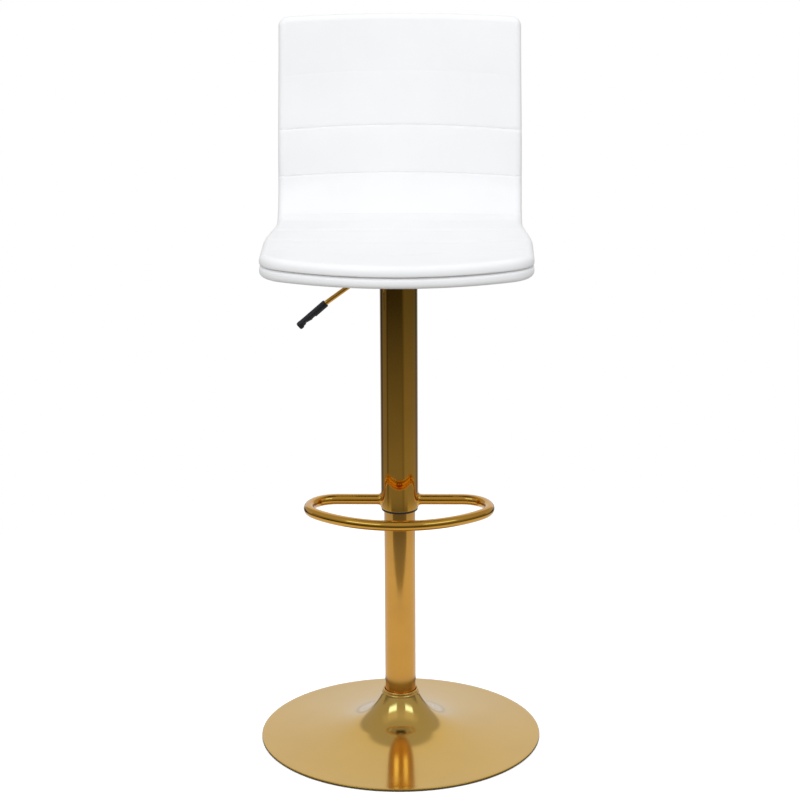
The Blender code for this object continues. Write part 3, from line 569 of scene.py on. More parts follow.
def turned(outline, sides):
    """The closed outline [(radius, height), ...] spun round Z, as a bmesh."""
    bm = bmesh.new()
    rings = []
    for radius, height in outline:
        if radius < 1e-6:
            rings.append([bm.verts.new((0.0, 0.0, height))])
            continue
        rings.append([bm.verts.new((radius * math.cos(turn), radius * math.sin(turn), height))
                      for turn in circle(sides)])
    for first, second in zip(rings, rings[1:] + rings[:1]):
        if len(first) == 1 and len(second) == 1:
            continue
        if len(first) == len(second):
            bridge(bm, first, second)
            continue
        for k in range(sides):
            after = (k + 1) % sides
            if len(first) == 1:
                bm.faces.new((first[0], second[after], second[k]))
            else:
                bm.faces.new((first[k], first[after], second[0]))
    return bm


def ring_outline(inner, outer, bottom, top):
    return [(outer, top), (outer, bottom), (inner, bottom), (inner, top)]


def swept(points, radii, sides, binormal):
    """A round bar along a path that lies in the plane at right angles to binormal, as a bmesh."""
    bm = bmesh.new()
    binormal = Vector(binormal)
    points = [Vector(point) for point in points]
    rings = []
    for i, (point, radius) in enumerate(zip(points, radii)):
        along = (points[min(i + 1, len(points) - 1)] - points[max(i - 1, 0)]).normalized()
        side = along.cross(binormal)
        offs = [radius * (math.cos(turn) * side + math.sin(turn) * binormal) for turn in circle(sides)]
        rings.append([bm.verts.new(point + off) for off in offs])
    for first, second in zip(rings, rings[1:]):
        bridge(bm, first, second)
    bm.faces.new(rings[0])
    bm.faces.new(rings[-1])
    return bm, rings


def round_ended(points, radius, steps=5):
    """The path with extra points at its ends, and the radii that round them."""
    points = [Vector(point) for point in points]
    roll = radius * 0.55
    first = (points[1] - points[0]).normalized()
    last = (points[-2] - points[-1]).normalized()
    shares = [math.pi / 2 * k / steps for k in range(steps)]
    start = [points[0] + first * roll * (1 - math.cos(t)) for t in shares]
    end = [points[-1] + last * roll * (1 - math.cos(t)) for t in reversed(shares)]
    radii = [radius - roll * (1 - math.sin(t)) for t in shares]
    return start + [points[0] + first * roll] + points[1:-1] + [points[-1] + last * roll] + end, \
        radii + [radius] * len(points) + radii[::-1]


def prism(outline, low, high):
    """The outline [(x, y), ...] from z = low to z = high, as a bmesh."""
    bm = bmesh.new()
    floor = [bm.verts.new((x, y, low)) for x, y in outline]
    roof = [bm.verts.new((x, y, high)) for x, y in outline]
    bm.faces.new(floor)
    bm.faces.new(roof)
    bridge(bm, floor, roof)
    return bm


def bevelled(bm, width, segments=3, angle=30.0):
    """Rounds the edges of a bmesh that turn more than an angle."""
    bmesh.ops.recalc_face_normals(bm, faces=bm.faces)
    sharp = [edge for edge in bm.edges if edge.calc_face_angle(0.0) > math.radians(angle)]
    bmesh.ops.bevel(bm, geom=sharp, offset=width, segments=segments, profile=0.5, affect="EDGES",
                    clamp_overlap=True)
    return bm


# ======================= base =======================

def dome_height(radius):
    """Height of the dome's outer face at a radius: a slow disc rise and a steep bell."""
    collar = COLUMN_RADIUS + COLLAR_AIR + COLLAR_ROLL
    disc = DOME_RISE * max(0.0, 1 - radius / BASE_RADIUS) ** DOME_FALL_POWER
    bell = BELL_RISE * math.exp(-(radius - collar) / BELL_SPREAD)
    edge = BELL_RISE * math.exp(-(BASE_RADIUS - collar) / BELL_SPREAD)
    return RIM_TOP_Z + disc + bell - edge


# The crease and the small shoulder under the rolled lip: out from the collar, and down from its top.
SHOULDER = ((0.0, 0.0020), (0.0005, 0.0022), (0.0010, 0.0026), (0.0014, 0.0031), (0.0017, 0.0038),
            (0.0020, 0.0047), (0.0024, 0.0058))
SHOULDER_REACH = 0.0029     # where the bell's own curve takes over


def make_base():
    sizes = bpy.context.scene.stool_metal
    collar = COLUMN_RADIUS + COLLAR_AIR + COLLAR_ROLL
    steps = np.linspace(0, 1, 72) ** 1.9
    radii = [collar + (BASE_RADIUS - RIM_ROUND - collar) * step for step in steps]
    outer = [(radius, dome_height(radius)) for radius in radii]
    inner = []
    for radius, height in outer[4:-1]:
        slope = (dome_height(radius + 1e-4) - dome_height(radius - 1e-4)) / 2e-4
        normal = Vector((-slope, 1.0)).normalized()
        inner.append((radius - BASE_SHEET * normal.x, height - BASE_SHEET * normal.y))
    top = outer[0][1]
    middle = COLUMN_RADIUS + COLLAR_AIR + COLLAR_ROLL / 2
    roll = arc_points((middle, top), COLLAR_ROLL / 2 + 0.0004, 200, -38, 16)
    neck = [(collar + out, top - down) for out, down in SHOULDER]
    rim = arc_points((BASE_RADIUS - RIM_ROUND, RIM_TOP_Z - RIM_ROUND), RIM_ROUND, 80, 0, 6)
    foot = [(BASE_RADIUS, RIM_BOTTOM_Z), (BASE_RADIUS - BASE_SHEET, RIM_BOTTOM_Z),
            (BASE_RADIUS - BASE_SHEET, RIM_TOP_Z - 0.0014)]
    throat = [(middle - COLLAR_ROLL / 2 + 0.0001, top - 0.004)]
    outline = roll + neck + [place for place in outer[:-1] if place[0] > collar + SHOULDER_REACH] + rim
    outline += foot + inner[::-1] + throat
    piece("base_shell", turned(outline, sizes.turned_sides), "gold_satin", "base", ["base_dome"], 50.0)
    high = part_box("floor_ring")[1]
    inside = high.x - FLOOR_RING_WIDTH
    outline = [(high.x, high.z - 0.0012), (high.x, 0.0), (inside, 0.0), (inside, high.z),
               (high.x - 0.004, high.z)]
    ring = turned(filleted(outline, 0.0006), sizes.turned_sides)
    piece("floor_pad_ring", ring, "black_rubber", "base", ["floor_ring"])


# ======================= column and sleeve =======================

def make_column():
    sizes = bpy.context.scene.stool_metal
    inner = COLUMN_RADIUS - TUBE_WALL
    hub_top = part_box("base_hub")[1].z
    foot_radius = COLUMN_RADIUS - COLUMN_TAPER
    floor = COLUMN_BOTTOM_Z + COLUMN_FLOOR
    outline = [
        (COLUMN_RADIUS, COLUMN_TOP_Z), (COLUMN_RADIUS, hub_top), (foot_radius, COLUMN_BOTTOM_Z),
        (ROD_HOLE_RADIUS, COLUMN_BOTTOM_Z), (ROD_HOLE_RADIUS, floor),
        (foot_radius - TUBE_WALL, floor), (inner, hub_top), (inner, COLUMN_TOP_Z),
    ]
    tube = turned(filleted(outline, sizes.edge_break), 128)
    piece("column_outer_tube", tube, "gold_column", "base", ["column_tube"])

    wall = SLEEVE_RADIUS - TUBE_WALL
    outline = ring_outline(wall, SLEEVE_RADIUS, SLEEVE_BOTTOM_Z, SLEEVE_TOP_Z)
    tube = turned(filleted(outline, 0.0007, 6), 128)
    piece("footrest_sleeve_tube", tube, "gold_polished", "seat", ["footrest_sleeve"])

    low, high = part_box("sleeve_bottom_bush")
    seat = SLEEVE_BOTTOM_Z - GAP
    lip = SLEEVE_RADIUS - 0.0006
    outline = [(wall - GAP, high.z), (wall - GAP, seat), (lip, seat), (lip, low.z),
               (COLUMN_RADIUS + GAP, low.z), (COLUMN_RADIUS + GAP, high.z)]
    bush = turned(filleted(outline, 0.0006, 4), 128)
    piece("sleeve_guide_ring", bush, "black_plastic", "seat", ["sleeve_bottom_bush"])

    low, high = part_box("sleeve_top_cap")
    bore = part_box("gas_cylinder")[1].x + GAP
    seat = SLEEVE_TOP_Z + GAP
    outline = [(SLEEVE_RADIUS, high.z), (SLEEVE_RADIUS, seat), (wall - GAP, seat), (wall - GAP, low.z),
               (bore, low.z), (bore, high.z)]
    cap = turned(filleted(outline, 0.0004, 3), 96)
    piece("sleeve_end_cap", cap, "black_plastic", "seat", ["sleeve_top_cap"])


# ======================= footrest =======================

def ring_route(corner_steps=14, front_steps=96):
    """Centreline of the D-shaped footrest, from the left end of its back bar to the right end."""
    centre_y = RING_FRONT_Y + RING_ARC_RADIUS
    reach = RING_ARC_RADIUS - RING_CORNER_RADIUS
    corner_x = math.sqrt(reach**2 - (centre_y + RING_CORNER_RADIUS) ** 2)
    meet = math.degrees(math.atan2(-RING_CORNER_RADIUS - centre_y, -corner_x)) % 360
    left = arc_points((-corner_x, -RING_CORNER_RADIUS), RING_CORNER_RADIUS, 90, meet, corner_steps)
    front = arc_points((0.0, centre_y), RING_ARC_RADIUS, meet, 540 - meet, front_steps)
    right = [(-x, y) for x, y in reversed(left)]
    bar = [(-x, 0.0) for x in np.linspace(SLEEVE_RADIUS, corner_x, 9)[:-1]]
    other_bar = [(-x, y) for x, y in reversed(bar)]
    return [(x, y, RING_Z) for x, y in bar + left + front[1:-1] + right + other_bar]


def meet_sleeve(verts, clearance):
    """Moves the end of a tube onto the sleeve's round face."""
    for vert in verts:
        reach = math.sqrt((SLEEVE_RADIUS + clearance) ** 2 - vert.co.y**2)
        vert.co.x = math.copysign(reach, vert.co.x)


def make_weld(name, side, stands_for):
    """A fillet of weld, rippled by the torch, that follows the sleeve's round face."""
    sizes = bpy.context.scene.stool_metal
    near = RING_TUBE_RADIUS + 0.00005
    turns, steps = 96, 9
    bm = bmesh.new()
    loops = []
    for turn in circle(turns):
        ripple = 1 + 0.06 * math.sin(17 * turn) + 0.05 * math.sin(5 * turn + side)
        ripple += 0.03 * math.sin(31 * turn)
        section = []
        for i in range(steps + 1):
            lean = math.pi / 2 * i / steps
            out = near + sizes.weld_width * ripple * (1 - math.sin(lean)) ** 1.25
            up = sizes.weld_length * ripple * (1 - math.cos(lean)) ** 1.25
            section.append((out, up))
        section += [(near, -0.0004), (near + sizes.weld_width * ripple, -0.0004)]
        loop = []
        for out, up in section:
            y, z = out * math.cos(turn), out * math.sin(turn)
            face = math.sqrt(max(0.0, SLEEVE_RADIUS**2 - y**2))
            loop.append(bm.verts.new((side * (face + GAP + up), y, RING_Z + z)))
        loops.append(loop)
    for first, second in zip(loops, loops[1:] + loops[:1]):
        bridge(bm, first, second)
    piece(name, bm, "gold_polished", "seat", stands_for, 60.0)


def make_footrest():
    route = ring_route()
    bm, rings = swept(route, [RING_TUBE_RADIUS] * len(route), 48, (0, 0, 1))
    meet_sleeve(rings[0], GAP)
    meet_sleeve(rings[-1], GAP)
    piece("footrest_tube", bm, "gold_polished", "seat", ["footrest_ring"])
    make_weld("footrest_weld_bead_left", -1, ["footrest_weld_left"])
    make_weld("footrest_weld_bead_right", 1, ["footrest_weld_right"])


# ======================= seat mounting =======================

def rounded_rectangle(half_x, half_y, radius, count=10):
    points = []
    for sign_x, sign_y, start in ((1, 1, 0), (-1, 1, 90), (-1, -1, 180), (1, -1, 270)):
        centre = (sign_x * (half_x - radius), sign_y * (half_y - radius))
        points += arc_points(centre, radius, start, start + 90, count)
    return points


def make_mounting():
    outline = rounded_rectangle(PLATE_HALF_X, PLATE_HALF_Y, PLATE_CORNER)
    plate = bevelled(prism(outline, PLATE_BOTTOM_Z, PLATE_TOP_Z), 0.0007)
    piece("mounting_plate", plate, "black_steel", "seat", ["seat_plate"])

    low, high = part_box("seat_socket")
    radius = high.x
    inner = radius - SOCKET_WALL
    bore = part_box("gas_cylinder")[1].x + GAP
    throat = low.z + 0.0135
    outline = [(radius + SOCKET_WELD, high.z), (radius + SOCKET_WELD * 0.35, high.z - SOCKET_WELD * 0.35),
               (radius, high.z - SOCKET_WELD), (radius, low.z), (bore, low.z), (bore - 0.0006, throat),
               (inner, throat), (inner, high.z)]
    socket = turned(filleted(outline, 0.0005, 3), 96)
    piece("mounting_socket", socket, "black_steel", "seat", ["seat_socket"])

    for i in range(1, 5):
        make_bolt(i)
    make_bracket()


def make_bolt(number):
    """A flanged hexagon bolt with a chamfered head, and its washer."""
    low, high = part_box(f"seat_bolt_{number}")
    middle = (low + high) / 2
    washer_low, washer_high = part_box(f"bolt_washer_{number}")
    shank = BOLT_SHANK_RADIUS
    head_top = washer_low.z - GAP
    head_radius = 0.0057
    outline = arc_points((0.0, 0.0), head_radius, 0, 300, 6)
    head = prism(outline, low.z, head_top)
    bevelled(head, 0.00045, 2, 40.0)
    outline = [(0.0, high.z), (shank, high.z), (shank, head_top - 0.0005), (0.0, head_top - 0.0005)]
    shaft = turned(filleted(outline, 0.0003), 32)
    mesh = bpy.data.meshes.new("bolt_shaft")
    shaft.to_mesh(mesh)
    shaft.free()
    head.from_mesh(mesh)
    bpy.data.meshes.remove(mesh)
    head.transform(Matrix.Translation((middle.x, middle.y, 0.0)))
    piece(f"flange_bolt_{number}", head, "zinc_steel", "seat", [f"seat_bolt_{number}"], 30.0)
    outline = ring_outline(shank + GAP, washer_high.x - middle.x, washer_low.z, washer_high.z)
    washer = turned(filleted(outline, 0.0003), 48)
    washer.transform(Matrix.Translation((middle.x, middle.y, 0.0)))
    piece(f"flat_washer_{number}", washer, "zinc_steel", "seat", [f"bolt_washer_{number}"])


def make_bracket():
    """The folded bracket that holds the lever's pivot pin."""
    low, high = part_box("lever_bracket")
    outer = high.y
    inner = outer - BRACKET_SHEET
    top = high.z
    under = top - BRACKET_SHEET
    outline = [(-outer, low.z), (-inner, low.z), (-inner, under), (inner, under), (inner, low.z),
               (outer, low.z), (outer, top), (-outer, top)]
    bm = prism(outline, low.x, high.x)
    bm.transform(Matrix(((0, 0, 1, 0), (1, 0, 0, 0), (0, 1, 0, 0), (0, 0, 0, 1))))
    bevelled(bm, 0.0005, 2)
    piece("pivot_bracket", bm, "black_steel", "seat", ["lever_bracket"])

    low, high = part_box("lever_pivot_pin")
    reach = high.y
    head = (high.z - low.z) / 2
    shank = head - 0.0010
    outline = [(0.0, reach), (head, reach), (head, reach - 0.0012), (shank, reach - 0.0012),
               (shank, -reach), (0.0, -reach)]
    pin = turned(filleted(outline, 0.0003), 40)
    pin.transform(Matrix.Translation((LEVER_PIVOT_X, 0, LEVER_Z)) @ Matrix.Rotation(math.pi / 2, 4, "X"))
    piece("pivot_rivet", pin, "zinc_steel", "seat", ["lever_pivot_pin"])


# ======================= release lever =======================

def lever_route():
    """Centreline of the lever rod, and where its grip starts and points."""
    centre = (LEVER_BEND_X, LEVER_Z - LEVER_BEND_RADIUS)
    bend = arc_points(centre, LEVER_BEND_RADIUS, 90, 90 + math.degrees(LEVER_SLOPE), 14)
    start = Vector(bend[-1])
    slope = Vector((-math.cos(LEVER_SLOPE), -math.sin(LEVER_SLOPE)))
    grip_start = start + slope * LEVER_SLOPE_TO_GRIP
    grip_slope = Vector((-math.cos(GRIP_SLOPE), -math.sin(GRIP_SLOPE)))
    straight = [tuple(start + slope * LEVER_SLOPE_TO_GRIP * k / 6) for k in range(1, 6)]
    turn_in = [tuple(grip_start - slope * 0.004), tuple(grip_start - slope * 0.002 + grip_slope * 0.0002),
               tuple(grip_start + grip_slope * 0.003)]
    rod_end = tuple(grip_start + grip_slope * 0.040)
    plan = [(0.003, LEVER_Z), (LEVER_PIVOT_X, LEVER_Z)] + bend + straight + turn_in + [rod_end]
    return [(x, 0.0, z) for x, z in plan], grip_start, grip_slope


def grip_radius(along, turn, notch_depth):
    """Radius of the moulded grip at a share of its length and an angle, 0 underneath."""
    under = smooth((math.cos(turn) + 0.25) / 0.9)
    shoulder = smooth((along - 0.44) / 0.025) * (1 - smooth((along - 0.88) / 0.03))
    rib = math.exp(-(((along - 0.60) / 0.022) ** 2))
    scallop = math.exp(-(((along - 0.745) / 0.062) ** 4))
    cut = shoulder * (0.55 - 0.35 * rib + 0.65 * scallop)
    return GRIP_RADIUS * (1 + 0.03 * smooth((along - 0.86) / 0.04)) - notch_depth * cut * under


def make_grip(start, slope):
    """The moulded grip: a straight bar with finger notches underneath and a fuller, squarer tip."""
    sizes = bpy.context.scene.stool_metal
    along_axis = Vector((slope.x, 0.0, slope.y))
    down = Vector((-slope.y, 0.0, slope.x))
    if down.z > 0:
        down = -down
    side = Vector((0.0, 1.0, 0.0))
    origin = Vector((start.x, 0.0, start.y))
    sides = 56
    shares = [0.0, 0.004, 0.012, 0.025] + list(np.linspace(0.05, 0.95, 80)) + [0.965, 0.98, 0.992, 1.0]
    bm = bmesh.new()
    rings = []
    for share in shares:
        shrink = 1.0
        if share < 0.025:
            shrink = 0.86 + 0.14 * math.sin(math.pi / 2 * share / 0.025)
        if share > 0.95:
            shrink = 0.86 + 0.14 * math.sqrt(max(0.0, 1 - ((share - 0.95) / 0.05) ** 2.5))
        square = smooth((share - 0.84) / 0.06)
        ring = []
        for turn in circle(sides):
            radius = grip_radius(share, turn, sizes.notch_depth) * shrink
            soften = (abs(math.cos(turn)) ** 4 + abs(math.sin(turn)) ** 4) ** (-0.25)
            radius = float(radius * (1 + square * (soften - 1) * 0.45))
            off = radius * (math.cos(turn) * down + math.sin(turn) * side)
            along = GRIP_MOUTH + (GRIP_LENGTH - GRIP_MOUTH) * share
            ring.append(bm.verts.new(origin + along_axis * along + off))
        rings.append(ring)
    for first, second in zip(rings, rings[1:]):
        bridge(bm, first, second)
    tip = bm.verts.new(origin + along_axis * (GRIP_LENGTH + 0.0002))
    for k in range(sides):
        bm.faces.new((rings[-1][k], rings[-1][(k + 1) % sides], tip))
    bore = LEVER_RADIUS + GAP
    offs = [bore * (math.cos(turn) * down + math.sin(turn) * side) for turn in circle(sides)]
    mouth = [bm.verts.new(origin + along_axis * GRIP_MOUTH + off) for off in offs]
    floor = [bm.verts.new(origin + along_axis * GRIP_BORE + off) for off in offs]
    bridge(bm, rings[0], mouth)
    bridge(bm, mouth, floor)
    bm.faces.new(floor)
    piece("lever_hand_grip", bm, "black_plastic", "lever", ["lever_grip"], 50.0)


def make_lever():
    route, grip_start, grip_slope = lever_route()
    points, radii = round_ended(route, LEVER_RADIUS)
    bm, _ = swept(points, radii, 36, (0, 1, 0))
    piece("lever_bar", bm, "gold_polished", "lever", ["lever_rod"])
    make_grip(grip_start, grip_slope)


# ======================= upholstery =======================

# Sewn channels: length from the front edge along the side path, and share of the full depth.
CHANNELS = ((0.5693, 0.10), (0.4863, 1.0), (0.4118, 0.85), (0.3243, 0.40), (0.2336, 0.40), (0.1563, 0.30),
            (0.0800, 0.22))
STITCHED_SHARE = 0.2        # a shallower channel shows no thread
CHANNEL_BOW = 0.0045        # how far a channel dips towards the seat at its ends
CORNER_ROWS = 12
EDGE_STEPS = 10
SWELL_FRAMES = 20


def path_lengths():
    """Lengths along the seam surface from the front edge: where the bend starts and ends, and the top."""
    sweep = math.pi / 2 - RECLINE
    back = (BACK_TOP_Z - SEAM_Z - BEND_RADIUS * (1 - math.cos(sweep))) / math.cos(RECLINE)
    flat = BEND_Y - SEAT_FRONT_Y
    return flat, flat + BEND_RADIUS * sweep, flat + BEND_RADIUS * sweep + back


FLAT_END, BEND_END, PATH_END = path_lengths()


def half_width(length):
    """Half the width of the upholstery at a length along its side path."""
    seat = smooth((WIDEN_FROM_Y - SEAT_FRONT_Y - length) / WIDEN_OVER)
    top = smooth((length - BEND_END) / (PATH_END - BEND_END))
    widened = (SEAT_HALF_WIDTH - BACK_HALF_WIDTH) * seat + (TOP_HALF_WIDTH - BACK_HALF_WIDTH) * top
    return BACK_HALF_WIDTH + widened


def in_space(x, length, height):
    """Points at x across, a length along the side path and a height off the seam surface."""
    x, length, height = np.broadcast_arrays(x, length, height)
    turn = np.clip((length - FLAT_END) / BEND_RADIUS, 0.0, math.pi / 2 - RECLINE)
    flat = np.minimum(length, FLAT_END)
    back = np.maximum(length - BEND_END, 0.0)
    y = SEAT_FRONT_Y + flat + (BEND_RADIUS - height) * np.sin(turn) + back * math.sin(RECLINE)
    z = SEAM_Z + BEND_RADIUS - (BEND_RADIUS - height) * np.cos(turn) + back * math.cos(RECLINE)
    wrap = BACK_WRAP * (x / BACK_HALF_WIDTH) ** 2 * smooth((length - FLAT_END) / (BEND_END - FLAT_END + 0.04))
    return np.stack([x, y - wrap, z], axis=-1)


def off_seam(length):
    """The direction of height at a length along the side path."""
    turn = np.clip((length - FLAT_END) / BEND_RADIUS, 0.0, math.pi / 2 - RECLINE)
    return np.stack([np.zeros_like(turn), -np.sin(turn), np.cos(turn)], axis=-1)


def sheet_lengths(spacing, channels=()):
    """Row lengths between the rounded corners, evenly spaced and closer beside the channels."""
    low, high = FRONT_CORNER, PATH_END - TOP_CORNER
    near = (0.0, 0.0005, 0.0011, 0.0018, 0.0027, 0.0040, 0.0058)
    fixed = sorted({round(length + sign * off, 6)
                    for length, _ in channels for off in near for sign in (-1, 1)})
    made = [low]
    for stop in [*fixed, high]:
        span = stop - made[-1]
        count = max(1, round(span / spacing))
        made += list(made[-1] + span * np.arange(1, count + 1) / count)
    return np.array(made)


def pattern(inset, lengths, columns, corner_rows):
    """Places across and along of a sheet's points, drawn in by inset all round, as two grids."""
    front_corner = FRONT_CORNER - inset
    top_corner = TOP_CORNER - inset
    turns = np.linspace(0, math.pi / 2, corner_rows + 1)
    along = np.concatenate([inset + front_corner * (1 - np.cos(turns)), lengths[1:],
                            PATH_END - inset - top_corner * (1 - np.sin(turns[1:]))])
    cut_in = np.concatenate([front_corner * (1 - np.sin(turns)), np.zeros(len(lengths) - 1),
                             top_corner * (1 - np.cos(turns[1:]))])
    half = half_width(along) - inset - cut_in
    share = 2 * np.arange(columns + 1) / columns - 1
    x = half[:, None] * share[None, :]
    bow = FRONT_ARC_RADIUS - np.sqrt(FRONT_ARC_RADIUS**2 - x**2)
    front_share = np.maximum(0.0, 1 - (along - inset) / FLAT_END)[:, None]
    top_share = smooth((along - BEND_END) / (PATH_END - BEND_END))[:, None]
    middle = smooth((along - FRONT_CORNER) / 0.12) * smooth((PATH_END - TOP_CORNER - along) / 0.07)
    dip = CHANNEL_BOW * (x / BACK_HALF_WIDTH) ** 2 * middle[:, None]
    drop = TOP_ARCH * (x / BACK_HALF_WIDTH) ** 2 * top_share
    return x, along[:, None] + bow * front_share**1.5 - drop - dip, along


def edge_places(rows, columns):
    """Grid places round the edge of a sheet, in order."""
    front = [(0, k) for k in range(columns)]
    right = [(r, columns) for r in range(rows)]
    top = [(rows, k) for k in range(columns, 0, -1)]
    left = [(r, 0) for r in range(rows, 0, -1)]
    return front + right + top + left


def every(count, step):
    """Numbers from 0 to count with a step, and count itself."""
    return sorted({*range(0, count + 1, step), count})


class Pad:
    """A closed pad on the side path: a full face sheet, loops round its edge, and a lighter closing sheet."""

    def __init__(self, layers, spacing, columns, corner_rows, channels=()):
        self.layers = layers
        self.columns = columns
        self.corner_rows = corner_rows
        self.lengths = sheet_lengths(spacing, channels)
        self.x, self.length, self.along = pattern(layers[0][0], self.lengths, columns, corner_rows)
        self.rows = len(self.along) - 1
        self.share = 2 * np.arange(columns + 1) / columns - 1
        self.edge = edge_places(self.rows, columns)

    def shape(self, lift, fade):
        """Points and faces with the face sheet lifted, and its edge loops by a share that fades."""
        face = in_space(self.x, self.length, self.layers[0][1] + lift)
        points = list(face.reshape(-1, 3))
        wide = self.columns + 1
        faces = []
        for r in range(self.rows):
            for k in range(self.columns):
                near = r * wide + k
                faces.append((near, near + 1, near + wide + 1, near + wide))
        loop = [r * wide + k for r, k in self.edge]
        for number, (inset, height) in enumerate(self.layers[1:-1], start=1):
            x, length, _ = pattern(inset, self.lengths, self.columns, self.corner_rows)
            share = fade[number] if number < len(fade) else 0.0
            after = []
            for r, k in self.edge:
                after.append(len(points))
                points.append(in_space(x[r, k], length[r, k], height + share * lift[r, k]))
            faces += band(loop, after)
            loop = after
        self.close(points, faces, loop)
        return np.array(points), faces

    def close(self, points, faces, loop):
        """The closing sheet: every edge point, and inside them only one row and column in a few."""
        inset, height = self.layers[-1]
        x, length, _ = pattern(inset, self.lengths, self.columns, self.corner_rows)
        rows = every(self.rows, 4)
        columns = every(self.columns, 8)
        kept = {}
        for r, k in self.edge + [(r, k) for r in rows for k in columns]:
            if (r, k) not in kept:
                kept[r, k] = len(points)
                points.append(in_space(x[r, k], length[r, k], height))
        faces += band(loop, [kept[place] for place in self.edge])
        for r0, r1 in zip(rows, rows[1:]):
            for k0, k1 in zip(columns, columns[1:]):
                walk = [(r0, k) for k in range(k0, k1)] + [(r, k1) for r in range(r0, r1)]
                walk += [(r1, k) for k in range(k1, k0, -1)] + [(r, k0) for r in range(r1, r0, -1)]
                faces.append(tuple(kept[place] for place in walk if place in kept))


def band(first, second):
    """Faces between two loops of the same number of points."""
    count = len(first)
    return [(first[k], first[(k + 1) % count], second[(k + 1) % count], second[k]) for k in range(count)]


def rolled_edge(face_height, sign, steps):
    """Layers of the rounded edge from the face sheet out to the wall."""
    made = []
    for k in range(steps + 1):
        turn = math.pi / 2 * k / steps
        inset = EDGE_ROUND * (1 - math.sin(turn))
        made.append((inset, face_height - sign * EDGE_ROUND * (1 - math.cos(turn))))
    return made


def cushion_layers(steps):
    walls = [(0.0, 0.0060), (0.0003, 0.0037), (0.0011, 0.0022), (0.0024, 0.0016), (0.0075, 0.0014),
             (0.0092, 0.0)]
    return rolled_edge(CUSHION_FACE, 1, steps) + walls


def cover_layers(steps):
    walls = [(0.0, -0.0060), (0.0003, -0.0035), (0.0011, -0.0020), (0.0024, -0.0014), (0.0075, -0.0012),
             (0.0092, -GAP), (COVER_WALL, -GAP), (COVER_WALL, COVER_FLOOR - COVER_THICKNESS)]
    return rolled_edge(COVER_FACE, -1, steps) + walls


def at_places(values, known, wanted):
    """Values on known rows read at wanted rows, on a smooth curve through them."""
    place = np.interp(wanted, known, np.arange(len(known)))
    whole = np.clip(np.floor(place).astype(int), 0, len(known) - 2)
    t = (place - whole).reshape(-1, *[1] * (values.ndim - 1))
    rows = [values[np.clip(whole + off, 0, len(known) - 1)] for off in (-1, 0, 1, 2)]
    cubic = 2 * rows[1] + (rows[2] - rows[0]) * t
    cubic += (2 * rows[0] - 5 * rows[1] + 4 * rows[2] - rows[3]) * t**2
    cubic += (3 * rows[1] - rows[0] - 3 * rows[2] + rows[3]) * t**3
    return cubic / 2


def edge_fade():
    """The share of the face sheet's lift that each loop of the rounded edge takes."""
    return [math.cos(math.pi / 2 * k / EDGE_STEPS) for k in range(EDGE_STEPS + 1)]


def pad_bmesh(name, points, faces):
    """A bmesh of the points and faces, and the mesh block that it came through."""
    mesh = bpy.data.meshes.new(name)
    mesh.from_pydata(points.tolist(), [], faces)
    bm = bmesh.new()
    bm.from_mesh(mesh)
    return bm, mesh


def free_share(pad, channels, flat_area):
    """How free each point of the face sheet is to swell: 0 on a sewn line or where it rests on the plate."""
    free = np.ones_like(pad.length)
    for length, depth in channels:
        near = smooth(np.abs(pad.along - length) / 0.006)[:, None]
        free *= 1 - (0.35 + 0.65 * depth) * (1 - near)
    if flat_area:
        half_x, half_y = flat_area
        y = SEAT_FRONT_Y + pad.length
        outside = np.maximum(np.abs(pad.x) - half_x, np.abs(y) - half_y)
        free *= smooth(outside / 0.035)
    return free


def swollen(pad, channels, flat_area, crown, sign, pressure):
    """Height that the vinyl swells off the foam over the face sheet, from a cloth simulation."""
    free = free_share(pad, channels, flat_area)
    points, faces = pad.shape(np.zeros_like(pad.x), ())
    bm, mesh = pad_bmesh("vinyl_blank", points, faces)
    face_outwards(bm)
    bmesh.ops.triangulate(bm, faces=[face for face in bm.faces if len(face.verts) > 4])
    bm.to_mesh(mesh)
    bm.free()
    blank = bpy.data.objects.new("vinyl_blank", mesh)
    bpy.context.scene.collection.objects.link(blank)
    held = blank.vertex_groups.new(name="held")
    count = pad.x.size
    for index, share in enumerate(free.reshape(-1)):
        if share < 0.98:
            held.add([index], float(1 - share), "REPLACE")
    held.add(list(range(count, len(points))), 1.0, "REPLACE")
    cloth = blank.modifiers.new("swell", "CLOTH")
    vinyl = {"quality": 6, "mass": 0.25, "tension_stiffness": 22.0, "compression_stiffness": 22.0,
             "shear_stiffness": 8.0, "bending_stiffness": 1.5, "use_pressure": True,
             "uniform_pressure_force": pressure, "vertex_group_mass": "held"}
    for name, value in vinyl.items():
        setattr(cloth.settings, name, value)
    cloth.settings.effector_weights.gravity = 0.0
    cloth.collision_settings.use_collision = False
    cloth.point_cache.frame_start = 1
    cloth.point_cache.frame_end = SWELL_FRAMES
    scene = bpy.context.scene
    for number in range(1, SWELL_FRAMES + 1):
        scene.frame_set(number)
    result = blank.evaluated_get(bpy.context.evaluated_depsgraph_get()).to_mesh()
    moved = np.empty(len(result.vertices) * 3, np.float32)
    result.vertices.foreach_get("co", moved)
    moved = moved.reshape(-1, 3)[:count].astype(float) - points[:count]
    blank.to_mesh_clear()
    bpy.data.objects.remove(blank)
    scene.frame_set(1)
    rise = sign * np.sum(moved.reshape(*pad.x.shape, 3) * off_seam(pad.length), axis=-1)
    full = np.percentile(rise, 97)
    print(f"vinyl swell: {1000 * full:.2f} mm, most {1000 * rise.max():.2f} mm")
    if full < 1e-5:
        raise RuntimeError("the cloth simulation didn't swell the vinyl")
    return np.clip(rise * crown / full, -0.001, 1.6 * crown)


def on_fine_sheet(coarse_pad, rise, fine_pad):
    """The coarse sheet's rise, read at the fine sheet's rows and columns."""
    rows = at_places(rise, coarse_pad.along, fine_pad.along)
    return at_places(rows.T, coarse_pad.share, fine_pad.share).T


